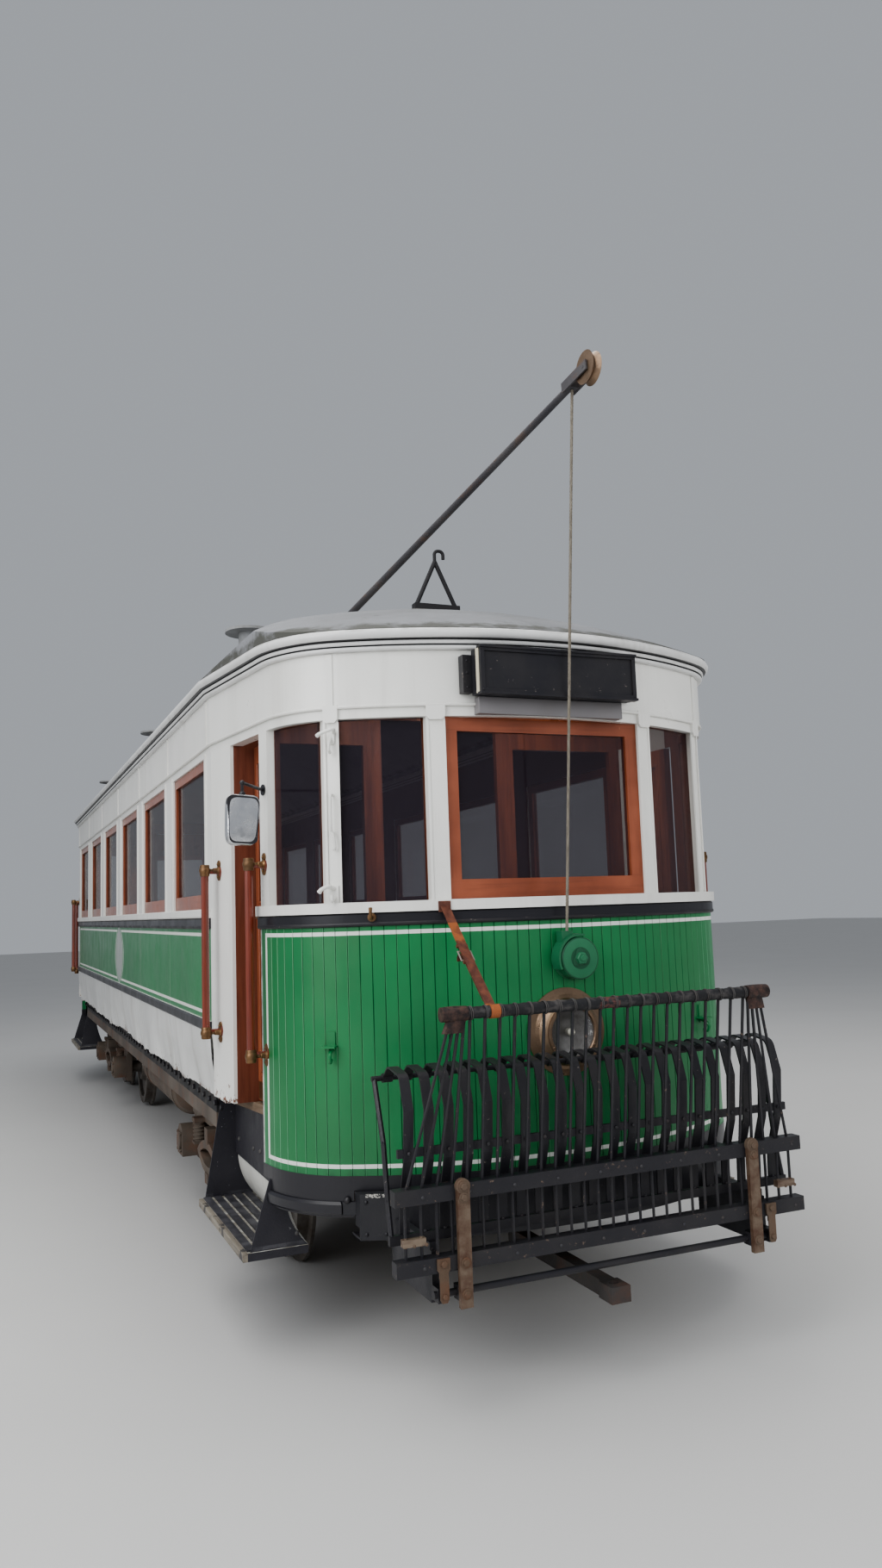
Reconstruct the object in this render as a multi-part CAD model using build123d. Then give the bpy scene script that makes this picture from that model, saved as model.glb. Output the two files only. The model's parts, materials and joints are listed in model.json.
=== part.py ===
from build123d import *
import math
import os

# Double-ended bogie tram, millimetres, Z up.
# X runs across the car, Y along it, and the origin is on the ground line of the
# wheel flanges under the middle of the car. End "a" faces -Y and end "b" faces +Y.
# Both ends are alike: end b is end a turned half a turn about Z.

# Track and wheels
FLANGE_DEPTH = 28
RAIL_TOP = FLANGE_DEPTH
TREAD_DIAMETER = 700
WHEEL_BACK_TO_BACK = 1360
TYRE_WIDTH = 88
FLANGE_WIDTH = 30
AXLE_DIAMETER = 110
HUB_RADIUS = 150
RIM_DEPTH = 62
WEB_THICKNESS = 28
WHEELBASE = 1474
BOGIE_CENTRE_Y = 2660
AXLE_Z = RAIL_TOP + TREAD_DIAMETER / 2

# Heights of the body
FLOOR_TOP = 945
FLOOR_THICKNESS = 40
SILL_TOP = 1828
SILL_DEPTH = 43
BELT_DEPTH = 50
LOW_MOULD_TOP = 1290
LOW_MOULD_BOTTOM = 1235
ROCKER_BOTTOM = 905
DASH_BOTTOM = 700
PANE_HEAD = 2585
LETTERBOARD_BOTTOM = 2629
LETTERBOARD_TOP = 2862
CORNICE_TOP = 2950
ROOF_CROWN = 3385
ROOF_THICKNESS = 40

# Centre sills under the floor
SILL_BEAM_INNER = 300
SILL_BEAM_OUTER = 370
SILL_BEAM_BOTTOM = 780

# Plan of the body
BODY_HALF_WIDTH = 1200
TAPER_DEGREES = 7.85
BOW_RADIUS = 1789
BOW_CENTRE_Y = 3373
CORNER_RADIUS = 448
CORNER_BEARING = 29.3
WALL = 60
DASH_WALL = 40
LETTERBOARD_PROUD = 8
CORNICE_PROUD = 65
ROOF_PROUD = 50
SILL_PROUD = 25
BELT_PROUD = 16
LOW_MOULD_PROUD = 20
BAND_PROUD = 6
BAND_HEIGHT = 55
ROCKER_TUCK = 55

# Saloon windows
WINDOW_COUNT = 6
WINDOW_PITCH = 1287
WINDOW_WIDTH = 1012
SASH_FRAME = 50
SASH_BOTTOM_RAIL = 75
SASH_THICKNESS = 34
GLASS_THICKNESS = 6
FIT_GAP = 0.3

# Seats in the saloon
SEAT_ROWS = 9
SEAT_PITCH = 820

# Entrances
DOOR_REAR_Y = 4150
DOOR_FRONT_Y = 4512
DOOR_THICKNESS = 36
DOOR_INSET = 62
DOOR_GAP = 8
DOOR_POST_INNER = 1005
HINGE_DIAMETER = 7.4

# Vestibule panes across the bow
CENTRE_PANE_HALF = 468
SIDE_PANE_INNER = 543
SIDE_PANE_OUTER = 878
CORNER_PANE_INNER = 932
CORNER_PANE_START_Y = 4602

# Steps
STEP_TOP = 418
STEP_THICKNESS = 34
STEP_OUTER_X = 1228
STEP_INNER_X = 952
SLAT_COUNT = 5
SLAT_HEIGHT = 8
STEP_REAR_Y = 3610
STEP_FRONT_Y = 4590
CHEEK_THICKNESS = 8
RISER_X = 1032
RISER_THICKNESS = 12
RISER_BOTTOM = 620

# Fender at each end
FENDER_BEAM_HALF = 890
FENDER_BEAM_Y = 5465
FENDER_BEAM_DEPTH = 50
FENDER_BEAM_HEIGHT = 54
UPPER_BEAM_Z = 786
LOWER_BEAM_Z = 546
TOP_BAR_Y = 5550
TOP_BAR_Z = 1415
TOP_BAR_HALF = 705
TOP_BAR_DIAMETER = 40
TOP_BAR_SIDES = 15
ROD_DIAMETER = 12
ROD_PITCH = 60.4
ROD_COUNT = 29
FAN_RODS = 4
FAN_TOP_PITCH = 17
LEVER_X = 636
LEVER_WIDTH = 48
LEVER_THICKNESS = 20
FENDER_PIVOT_Z = 440
FENDER_PIVOT_DIAMETER = 26
COMB_BAR_Y = 5245
COMB_BAR_Z = 1168
COMB_HALF = 860
COMB_BAR_DIAMETER = 20
COMB_STRAPS = 22
STRAP_PITCH = 78
STRAP_WIDTH = 38
STRAP_THICKNESS = 7
BUMPER_HALF = 860
BUMPER_TOP = 698
BUMPER_BOTTOM = 525
BUMPER_PROUD = 60
BUMPER_THICKNESS = 10
BRACKET_INNER = 706
BRACKET_OUTER = 736
COMB_LOW_Z = 606

# Skirt under the corner of the dash
SKIRT_BOTTOM = 598
SKIRT_PROUD = 5
BEAD_PROUD = 22
BEAD_TOP = 658

# Fittings on the dash
LAMP_Z = 1272
LAMP_FLANGE_RADIUS = 178
LAMP_RING_RADIUS = 118
LAMP_DEPTH = 62
RETRIEVER_X = 40
RETRIEVER_Z = 1570
RETRIEVER_RADIUS = 90
RETRIEVER_DEPTH = 75
SIGN_BOTTOM = 2660
SIGN_TOP = 2851
SIGN_HALF = 370
SIGN_DEPTH = 92
SIGN_RIM = 17

# Trolley pole
POLE_PIVOT_Z = 3600
POLE_HEAD_Y = 5500
POLE_HEAD_Z = 4000
POLE_TURN_DEGREES = 0.68
WALKWAY_THICKNESS = 28
POLE_ROOT_DIAMETER = 60
POLE_TIP_DIAMETER = 32
TROLLEY_WHEEL_DIAMETER = 140
ROPE_TOP = (0, -5361, 3968.8)
ROPE_LOW = (-70.4, -5224.5, 1683)
ROPE_DIAMETER = 12

# Bogie frames
FRAME_INNER_X = 880
FRAME_OUTER_X = 925
FRAME_TOP = 575
FRAME_BAR = 55
FRAME_HALF_LENGTH = 930
JAW_HALF = 100
JAW_WIDTH = 40
JAW_BOTTOM = 290
TIE_THICKNESS = 28
AXLEBOX_OUTER_X = 1040
AXLEBOX_HALF = 92
SHOE_GAP = 6
SPRING_Z = 405

os.makedirs("parts", exist_ok=True)


def save(name, *solids):
    """One file for each named piece."""
    part = solids[0] if len(solids) == 1 else Compound(label=name, children=list(solids))
    export_step(part, f"parts/{name}.step")


def box(x0, x1, y0, y1, z0, z1):
    """A block given by its two corners."""
    centre = ((x0 + x1) / 2, (y0 + y1) / 2, (z0 + z1) / 2)
    return Pos(*centre) * Box(abs(x1 - x0), abs(y1 - y0), abs(z1 - z0))


def half_turn(solid):
    """The same piece at the other end of the car."""
    return Rot(0, 0, 180) * solid


def rod(start, end, diameter):
    """A round bar between two points."""
    start, end = Vector(*start), Vector(*end)
    plane = Plane(origin=start, z_dir=end - start)
    return extrude(plane * Circle(diameter / 2), (end - start).length)


def light_bar(start, end, diameter, sides=6):
    """A slim bar drawn with a few flat sides, between two points."""
    start, end = Vector(*start), Vector(*end)
    plane = Plane(origin=start, z_dir=end - start)
    return extrude(plane * RegularPolygon(diameter / 2, sides), (end - start).length)


def lathe(centre, facing, *profile):
    """A turned piece: pairs of radius and distance in front of its centre, facing -Y or +Y."""
    face = make_face(Polyline(*profile, close=True))
    return Pos(*centre) * Rot(0, 0, 180 if facing < 0 else 0) * revolve(Plane.XY * face, Axis.Y)


def body_plan():
    """Half of the outline, then mirrored: side, tapered platform side, corner arc and bow."""
    taper = math.radians(TAPER_DEGREES)
    bearing = math.radians(CORNER_BEARING)
    reach = BOW_RADIUS - CORNER_RADIUS
    corner_x = reach * math.sin(bearing)
    corner_y = BOW_CENTRE_Y + reach * math.cos(bearing)
    tangent = (corner_x + CORNER_RADIUS * math.cos(taper), corner_y + CORNER_RADIUS * math.sin(taper))
    kink = (BODY_HALF_WIDTH, tangent[1] - (BODY_HALF_WIDTH - tangent[0]) / math.tan(taper))
    bow_edge = (BOW_RADIUS * math.sin(bearing), BOW_CENTRE_Y + BOW_RADIUS * math.cos(bearing))
    middle = (math.pi / 2 - bearing + taper) / 2
    corner_mid = (corner_x + CORNER_RADIUS * math.cos(middle), corner_y + CORNER_RADIUS * math.sin(middle))
    nose = (0, BOW_CENTRE_Y + BOW_RADIUS)

    def turned(point, sx, sy):
        return (point[0] * sx, point[1] * sy)

    edges = []
    for sy in (1, -1):
        edges.append(ThreePointArc(turned(bow_edge, 1, sy), turned(nose, 1, sy), turned(bow_edge, -1, sy)))
        for sx in (1, -1):
            edges.append(Line(turned(kink, sx, sy), turned(tangent, sx, sy)))
            edges.append(ThreePointArc(turned(tangent, sx, sy), turned(corner_mid, sx, sy),
                                       turned(bow_edge, sx, sy)))
    for sx in (1, -1):
        edges.append(Line(turned(kink, sx, 1), turned(kink, sx, -1)))
    return make_face(edges), kink[1]


PLAN, KINK_Y = body_plan()


def plan(proud):
    """The body's outline moved outwards by so much, or inwards where it is negative."""
    return PLAN if proud == 0 else offset(PLAN, amount=proud, kind=Kind.INTERSECTION)


def slab(proud, z0, z1):
    return Pos(0, 0, z0) * extrude(plan(proud), z1 - z0)


def ring(outer, inner, z0, z1):
    """A wall that follows the outline, between two distances from it."""
    return slab(outer, z0, z1) - slab(inner, z0, z1)


def moulding(outer, inner, z0, z1, soften):
    """A wall like the one above with its two outer edges taken off."""
    body = slab(outer, z0, z1)
    levels = body.edges().group_by(Axis.Z)
    body = chamfer(levels[0] + levels[-1], soften)
    return body - slab(inner, z0, z1)


def wall_x(y):
    """How far out the body's side stands at a place along the platform."""
    if y <= KINK_Y:
        return BODY_HALF_WIDTH
    return BODY_HALF_WIDTH - (y - KINK_Y) * math.tan(math.radians(TAPER_DEGREES))


def on_side(side, y, z, gap):
    """A plane that lies on the tapered side of the platform, facing outwards."""
    taper = math.radians(TAPER_DEGREES)
    outwards = (side * math.cos(taper), -math.sin(taper), 0)
    return Plane(origin=(side * wall_x(y), -y, z), x_dir=(0, 0, 1), z_dir=outwards).offset(gap)


def on_bow(x, z, proud):
    """A plane that lies on the bow of end a, so far in front of the body's outline."""
    radius = BOW_RADIUS + proud
    depth = math.sqrt(radius ** 2 - x ** 2)
    outwards = (x / radius, -depth / radius, 0)
    return Plane(origin=(x, -BOW_CENTRE_Y - depth, z), x_dir=(0, 0, 1), z_dir=outwards)


WINDOW_YS = [(i - (WINDOW_COUNT - 1) / 2) * WINDOW_PITCH for i in range(WINDOW_COUNT)]
FAR = 8000
BELT_BOTTOM = SILL_TOP - SILL_DEPTH - BELT_DEPTH
SILL_BOTTOM = SILL_TOP - SILL_DEPTH
ENDS = (("a", 1), ("b", -1))


def at_end(solid, sign):
    """Pieces are drawn at end a, which faces -Y."""
    return solid if sign == 1 else half_turn(solid)


def window_holes(side):
    holes = []
    for y in WINDOW_YS:
        holes.append(box(side * 1100, side * 1300, y - WINDOW_WIDTH / 2, y + WINDOW_WIDTH / 2, SILL_TOP, PANE_HEAD))
    return holes


def make_sides():
    """Saloon walls: rocker, waist panel, sill, pillars and letterboard, windows cut."""
    upper = ring(0, -WALL, LOW_MOULD_BOTTOM, LETTERBOARD_TOP)
    upper += ring(LETTERBOARD_PROUD, -1, LETTERBOARD_BOTTOM, LETTERBOARD_TOP)
    saloon = box(-FAR, FAR, -DOOR_REAR_Y, DOOR_REAR_Y, 0, FAR)
    upper = upper & saloon
    moulds = moulding(SILL_PROUD, -1, SILL_BOTTOM, SILL_TOP, 6)
    moulds += moulding(BELT_PROUD, -1, BELT_BOTTOM, SILL_BOTTOM, 7)
    moulds += moulding(LOW_MOULD_PROUD, -1, LOW_MOULD_BOTTOM, LOW_MOULD_TOP, 9)
    moulds = moulds & box(-FAR, FAR, -KINK_Y + 40, KINK_Y - 40, 0, FAR)
    for name, side in (("side_left", -1), ("side_right", 1)):
        half = box(0, side * FAR, -FAR, FAR, 0, FAR)
        wall = (upper + moulds) & half
        profile = Polyline((side * BODY_HALF_WIDTH, LOW_MOULD_BOTTOM),
                           (side * (BODY_HALF_WIDTH - 12), LOW_MOULD_BOTTOM - 120),
                           (side * (BODY_HALF_WIDTH - ROCKER_TUCK), ROCKER_BOTTOM),
                           (side * (BODY_HALF_WIDTH - ROCKER_TUCK - 25), ROCKER_BOTTOM),
                           (side * (BODY_HALF_WIDTH - WALL), LOW_MOULD_BOTTOM - 90),
                           (side * (BODY_HALF_WIDTH - WALL), LOW_MOULD_BOTTOM), close=True)
        rocker = extrude(Plane.XZ * make_face(profile), KINK_Y, both=True)
        wall += rocker
        for y in (1, -1):
            jamb = ring(0, -WALL, FLOOR_TOP, LOW_MOULD_BOTTOM) & half
            wall += jamb & box(-FAR, FAR, y * (KINK_Y - 1), y * DOOR_REAR_Y, 0, FAR)
            wall += box(side * DOOR_POST_INNER, side * 1120, y * (DOOR_REAR_Y - 60), y * DOOR_REAR_Y,
                        FLOOR_TOP + FIT_GAP, LETTERBOARD_BOTTOM)
        for hole in window_holes(side):
            wall -= hole
        save(name, wall)


def make_sashes():
    """Wooden sashes of the saloon, a thick rail at the bottom of each, and their panes."""
    frames, panes = [], []
    for side in (-1, 1):
        x_out = side * (BODY_HALF_WIDTH - 12)
        x_in = x_out - side * SASH_THICKNESS
        for y in WINDOW_YS:
            y0, y1 = y - WINDOW_WIDTH / 2 + FIT_GAP, y + WINDOW_WIDTH / 2 - FIT_GAP
            frame = box(x_out, x_in, y0, y1, SILL_TOP + FIT_GAP, PANE_HEAD - FIT_GAP)
            frame -= box(x_out + side * 9, x_in - side * 9, y0 + SASH_FRAME, y1 - SASH_FRAME,
                         SILL_TOP + SASH_BOTTOM_RAIL, PANE_HEAD - SASH_FRAME)
            frames.append(frame)
            x_mid = (x_out + x_in) / 2
            panes.append(box(x_mid - GLASS_THICKNESS / 2, x_mid + GLASS_THICKNESS / 2,
                             y0 + SASH_FRAME, y1 - SASH_FRAME,
                             SILL_TOP + SASH_BOTTOM_RAIL, PANE_HEAD - SASH_FRAME))
    save("window_sashes", *frames)
    save("saloon_panes", *panes)


def make_vestibule(name, sign):
    """Posts, sill, lintel and letterboard round the driver's platform."""
    zone = box(-FAR, FAR, -FAR, -DOOR_REAR_Y, 0, FAR)
    wall = ring(0, -WALL, SILL_BOTTOM, LETTERBOARD_TOP)
    wall += ring(LETTERBOARD_PROUD, -1, LETTERBOARD_BOTTOM, LETTERBOARD_TOP)
    wall = wall & zone
    wall += ring(SILL_PROUD, -WALL, SILL_BOTTOM, SILL_TOP) & box(-FAR, FAR, -FAR, -DOOR_FRONT_Y, 0, FAR)
    for side in (-1, 1):
        wall -= box(side * 900, side * 1300, -DOOR_FRONT_Y, -DOOR_REAR_Y + 1, 0, PANE_HEAD)
        wall -= box(side * SIDE_PANE_INNER, side * SIDE_PANE_OUTER, -FAR, -4700, SILL_TOP, PANE_HEAD)
        wall -= box(side * CORNER_PANE_INNER, side * 1400, -FAR, -CORNER_PANE_START_Y, SILL_TOP, PANE_HEAD)
    wall -= box(-CENTRE_PANE_HALF, CENTRE_PANE_HALF, -FAR, -4700, SILL_TOP, PANE_HEAD)
    save(name, at_end(wall, sign))


def make_dash(name, sign):
    """Boarded dash down to its black bottom band, with a beaded skirt under each corner."""
    front = box(-FAR, FAR, -FAR, -DOOR_FRONT_Y, 0, FAR)
    wall = ring(0, -DASH_WALL, DASH_BOTTOM, SILL_BOTTOM)
    wall += moulding(BELT_PROUD, -1, BELT_BOTTOM, SILL_BOTTOM, 7)
    wall += ring(BAND_PROUD, -1, DASH_BOTTOM, DASH_BOTTOM + BAND_HEIGHT)
    wall = wall & front
    skirt = ring(SKIRT_PROUD, -10, SKIRT_BOTTOM, DASH_BOTTOM + 1)
    bead = moulding(BEAD_PROUD, -1, SKIRT_BOTTOM + 8, BEAD_TOP, 10)
    for side in (-1, 1):
        wall += skirt & box(side * (BUMPER_HALF + 2), side * FAR, -FAR, -STEP_FRONT_Y - FIT_GAP, 0, FAR)
        wall += bead & box(side * (BUMPER_HALF + 52), side * FAR, -FAR, -STEP_FRONT_Y - FIT_GAP, 0, FAR)
    save(name, at_end(wall, sign))


def pane_between(p0, p1, z0, z1, inset):
    """A flat pane whose plan runs from one point to another."""
    (x0, y0), (x1, y1) = p0, p1
    length = math.hypot(x1 - x0, y1 - y0)
    angle = math.degrees(math.atan2(y1 - y0, x1 - x0))
    centre = Pos((x0 + x1) / 2, (y0 + y1) / 2, (z0 + z1) / 2) * Rot(0, 0, angle)
    return centre * Box(length - 2 * inset, GLASS_THICKNESS, z1 - z0 - 2 * FIT_GAP)


def bow_point(x, inset):
    return (x, -(BOW_CENTRE_Y + math.sqrt((BOW_RADIUS - inset) ** 2 - x * x)))


def make_vestibule_glass():
    """The centre sash of each end, with its pane, and the four panes beside it."""
    sashes, panes = [], []
    z0, z1 = SILL_TOP + FIT_GAP, PANE_HEAD - FIT_GAP
    sash_y = bow_point(CENTRE_PANE_HALF, 14)[1]
    for _, sign in ENDS:
        half = CENTRE_PANE_HALF - FIT_GAP
        frame = box(-half, half, sash_y, sash_y + SASH_THICKNESS, z0, z1)
        frame -= box(-half + 58, half - 58, sash_y - 9, sash_y + SASH_THICKNESS + 9, z0 + 80, z1 - 58)
        sashes.append(at_end(frame, sign))
        middle = sash_y + SASH_THICKNESS / 2
        panes.append(at_end(box(-half + 58, half - 58, middle - 3, middle + 3, z0 + 80, z1 - 58), sign))
        for side in (-1, 1):
            inner, outer = bow_point(SIDE_PANE_INNER, 30), bow_point(SIDE_PANE_OUTER, 30)
            panes.append(at_end(pane_between((side * inner[0], inner[1]), (side * outer[0], outer[1]),
                                             z0, z1, 8), sign))
            start = (side * CORNER_PANE_INNER, -4862)
            end = (side * (wall_x(CORNER_PANE_START_Y) - 30), -CORNER_PANE_START_Y)
            panes.append(at_end(pane_between(start, end, z0, z1, 12), sign))
    save("centre_sashes", *sashes)
    save("vestibule_panes", *panes)


def make_cornice():
    """Two rolls with a hollow between them, on the top of the letterboard."""
    base = LETTERBOARD_TOP + FIT_GAP
    lower = moulding(38, -WALL, base, LETTERBOARD_TOP + 38, 12)
    upper = moulding(CORNICE_PROUD, -WALL, LETTERBOARD_TOP + 52, CORNICE_TOP, 11)
    neck = ring(16, -WALL, base, CORNICE_TOP)
    save("cornice", lower + upper + neck)


def roof_form(drop, proud):
    """Arched section along the car, with each end rounded down as a shallow dome."""
    half = BODY_HALF_WIDTH + ROOF_PROUD
    rise = ROOF_CROWN - CORNICE_TOP
    arch_radius = (half ** 2 + rise ** 2) / (2 * rise)
    reach = BOW_RADIUS + ROOF_PROUD
    dome_radius = (reach ** 2 + rise ** 2) / (2 * rise)
    base = CORNICE_TOP - 5 if drop else CORNICE_TOP
    form = slab(proud, base, ROOF_CROWN + 50)
    arch = Pos(0, 0, ROOF_CROWN - drop - arch_radius + drop) * Rot(90, 0, 0) * Cylinder(arch_radius - drop, 2 * FAR)
    form = form & arch
    ends = Pos(0, BOW_CENTRE_Y, ROOF_CROWN - dome_radius) * Sphere(dome_radius - drop)
    middle = box(-FAR, FAR, -BOW_CENTRE_Y, BOW_CENTRE_Y, 0, ROOF_CROWN + 50)
    form = form & (ends + half_turn(ends) + middle)
    return form


def make_roof():
    roof = roof_form(0, ROOF_PROUD) - roof_form(ROOF_THICKNESS, -WALL)
    save("roof", roof)


def make_floor():
    floor = slab(-WALL - 28, FLOOR_TOP - FLOOR_THICKNESS, FLOOR_TOP)
    save("floor", floor)


def make_underframe():
    """Side sills, centre sills, bolsters and headstocks."""
    frame = None
    pieces = []
    for side in (-1, 1):
        pieces.append(box(side * 1060, side * 1135, -3600, 3600, 745, 904.7))
        pieces.append(box(side * SILL_BEAM_INNER, side * SILL_BEAM_OUTER, -5030, 5030, SILL_BEAM_BOTTOM, 904.7))
    for y in (-3500, -BOGIE_CENTRE_Y, -1250, 0, 1250, BOGIE_CENTRE_Y, 3500):
        pieces.append(box(-1070, 1070, y - 60, y + 60, 800, 904.7))
    for y in (-4700, 4700):
        pieces.append(box(-900, 900, y - 50, y + 50, 780, 904.7))
    for piece in pieces:
        frame = piece if frame is None else frame + piece
    for y in (-BOGIE_CENTRE_Y, BOGIE_CENTRE_Y):
        frame += Pos(0, y, 770) * Cylinder(180, 70 - 2 * FIT_GAP)
    save("underframe", frame)


def make_bulkhead(sign):
    """Wooden partition between saloon and platform, with its doorway and two windows."""
    y = -KINK_Y - 20
    wall = box(-1130, 1130, y - 35, y, FLOOR_TOP + FIT_GAP, 2900)
    wall -= box(-330, 330, y - 50, y + 20, FLOOR_TOP - 10, 2780)
    for side in (-1, 1):
        wall -= box(side * 430, side * 1040, y - 50, y + 20, SILL_TOP, 2640)
    return at_end(wall, sign)


def make_seats():
    """Benches in rows on both sides of the gangway, each a seat, a back and a leg at the gangway."""
    seats = []
    for side in (-1, 1):
        for row in range(SEAT_ROWS):
            y = (row - (SEAT_ROWS - 1) / 2) * SEAT_PITCH
            seat = box(side * 340, side * 1110, y - 200, y + 200, 1380, 1415)
            back = box(side * 340, side * 1110, y + 200, y + 232, 1380, 1830)
            leg = box(side * 350, side * 390, y - 120, y + 180, FLOOR_TOP + FIT_GAP, 1385)
            foot = box(side * 1040, side * 1080, y - 120, y + 180, FLOOR_TOP + FIT_GAP, 1385)
            seats.append(seat + back + leg + foot)
    return seats


def cheek(side, y, top, inner_top):
    """Side plate of a step: raked outer edge, and an inner edge that sweeps back to the tread."""
    low = STEP_TOP - STEP_THICKNESS
    outer = side * (STEP_OUTER_X - 30)
    inner = side * STEP_INNER_X
    edges = [Polyline((inner, STEP_TOP), (inner, low), (outer, low), (outer, STEP_TOP), (side * 1112, top),
                      (side * inner_top, top)),
             ThreePointArc((side * inner_top, top), (side * (inner_top + 6), (top + STEP_TOP) / 2 + 10),
                           (inner, STEP_TOP))]
    return Pos(0, y, 0) * extrude(Plane.XZ * make_face(edges), -CHEEK_THICKNESS)


def make_steps(sign):
    """Step under each entrance: slatted tread between two cheeks, with the riser behind."""
    steps = []
    underside = FLOOR_TOP - FLOOR_THICKNESS - FIT_GAP
    slat_pitch = (STEP_OUTER_X - STEP_INNER_X - 24) / SLAT_COUNT
    for side in (-1, 1):
        step = box(side * STEP_INNER_X, side * STEP_OUTER_X, -STEP_FRONT_Y, -STEP_REAR_Y,
                   STEP_TOP - STEP_THICKNESS, STEP_TOP)
        for i in range(SLAT_COUNT):
            x = side * (STEP_INNER_X + 12 + (i + 0.5) * slat_pitch)
            half = slat_pitch / 2 - 8
            step += box(x - half, x + half, -STEP_FRONT_Y + 14, -STEP_REAR_Y - 14,
                        STEP_TOP - 1, STEP_TOP + SLAT_HEIGHT)
        step += cheek(side, -STEP_FRONT_Y, DASH_BOTTOM - FIT_GAP, RISER_X)
        step += cheek(side, -STEP_REAR_Y - CHEEK_THICKNESS, underside, RISER_X)
        step += box(side * RISER_X, side * (RISER_X + RISER_THICKNESS), -STEP_FRONT_Y, -STEP_REAR_Y,
                    RISER_BOTTOM, DASH_BOTTOM - FIT_GAP)
        step += box(side * RISER_X, side * (RISER_X + RISER_THICKNESS), -DOOR_FRONT_Y + 30, -STEP_REAR_Y,
                    RISER_BOTTOM, underside)
        steps.append(at_end(step, sign))
    return steps


def make_bumper(sign):
    """Channel bumper that follows the bow, on two arms from the centre sills."""
    zone = box(-BUMPER_HALF, BUMPER_HALF, -FAR, -4700, 0, FAR)
    web_inner = BUMPER_PROUD - BUMPER_THICKNESS
    shape = ring(BUMPER_PROUD, web_inner, BUMPER_BOTTOM, BUMPER_TOP) & zone
    for z in (BUMPER_BOTTOM, BUMPER_TOP - BUMPER_THICKNESS):
        shape += ring(BUMPER_PROUD, -30, z, z + BUMPER_THICKNESS) & zone
    on_skirt = SKIRT_PROUD + FIT_GAP
    for side in (-1, 1):
        shape += box(side * SILL_BEAM_INNER, side * SILL_BEAM_OUTER, -5150, -4655, 600, BUMPER_TOP)
        shape += box(side * SILL_BEAM_INNER, side * SILL_BEAM_OUTER, -5000, -4655, 600, SILL_BEAM_BOTTOM - FIT_GAP)
        shape += box(side * BRACKET_INNER, side * BRACKET_OUTER, -FENDER_BEAM_Y + 45, -5020,
                     400, COMB_LOW_Z - FIT_GAP)
        end_plate = box(side * (BUMPER_HALF - 14), side * BUMPER_HALF, -FAR, -4700, 0, FAR)
        shape += ring(BUMPER_PROUD, on_skirt, BUMPER_BOTTOM + 45, BUMPER_TOP) & end_plate
        lug = box(side * (BUMPER_HALF - 14), side * (BUMPER_HALF + 46), -FAR, -4700, 0, FAR)
        shape += ring(SKIRT_PROUD + BUMPER_THICKNESS, on_skirt, SKIRT_BOTTOM + 12, BEAD_TOP) & lug
    return at_end(shape, sign)


def strap_path():
    """Side view of one comb strap, from its eye on the rear bar over and down to the bottom bar."""
    eye = (-COMB_BAR_Y - 12, COMB_BAR_Z + 8)
    hump = FilletPolyline(eye, (-5305, 1216), (-5422, 1198), (-5462, 1080), radius=40)
    front = Polyline((-5462, 1080), (-5446, 900), (-5392, 750), (-5386, COMB_LOW_Z + 4))
    return hump + front


def make_comb(sign):
    """Bent flat straps from the rear bar over to the bottom bar, joined by the bars."""
    blade = extrude(Plane.YZ * trace(strap_path(), STRAP_THICKNESS), STRAP_WIDTH)
    reach = COMB_HALF + 20
    comb = rod((-reach, -COMB_BAR_Y, COMB_BAR_Z), (reach, -COMB_BAR_Y, COMB_BAR_Z), COMB_BAR_DIAMETER)
    comb += box(-reach, reach, -5400, -5380, COMB_LOW_Z, COMB_LOW_Z + 34)
    comb += box(-COMB_HALF, COMB_HALF, -5450, -5436, 915, 945)
    eye_diameter = COMB_BAR_DIAMETER + 2 * STRAP_THICKNESS
    for i in range(COMB_STRAPS):
        x = (i - (COMB_STRAPS - 1) / 2) * STRAP_PITCH - STRAP_WIDTH / 2
        comb += Pos(x, 0, 0) * blade
        comb += light_bar((x, -COMB_BAR_Y, COMB_BAR_Z), (x + STRAP_WIDTH, -COMB_BAR_Y, COMB_BAR_Z),
                          eye_diameter, 10)
    for side in (-1, 1):
        x = side * (COMB_HALF + 10)
        corners = ((x, -COMB_BAR_Y, COMB_BAR_Z), (x, -5330, 950), (x, -5360, 750), (x, -5390, COMB_LOW_Z + 17))
        for start, end in zip(corners, corners[1:]):
            comb += light_bar(start, end, 20)
        for corner in corners[1:-1]:
            comb += Pos(*corner) * Box(14, 14, 14)
    return at_end(comb, sign)


def rod_ends():
    """Where each rod meets the top bar and the beams: the outer ones fan out from the bar's ends."""
    middle = (ROD_COUNT - 1) / 2
    ends = []
    for i in range(ROD_COUNT):
        low = (i - middle) * ROD_PITCH
        beyond = abs(i - middle) - (middle - FAN_RODS)
        top = low
        if beyond > 0:
            straight = (middle - FAN_RODS) * ROD_PITCH
            top = math.copysign(straight + 22 + (beyond - 1) * FAN_TOP_PITCH, low)
        ends.append((top, low))
    return ends


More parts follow.
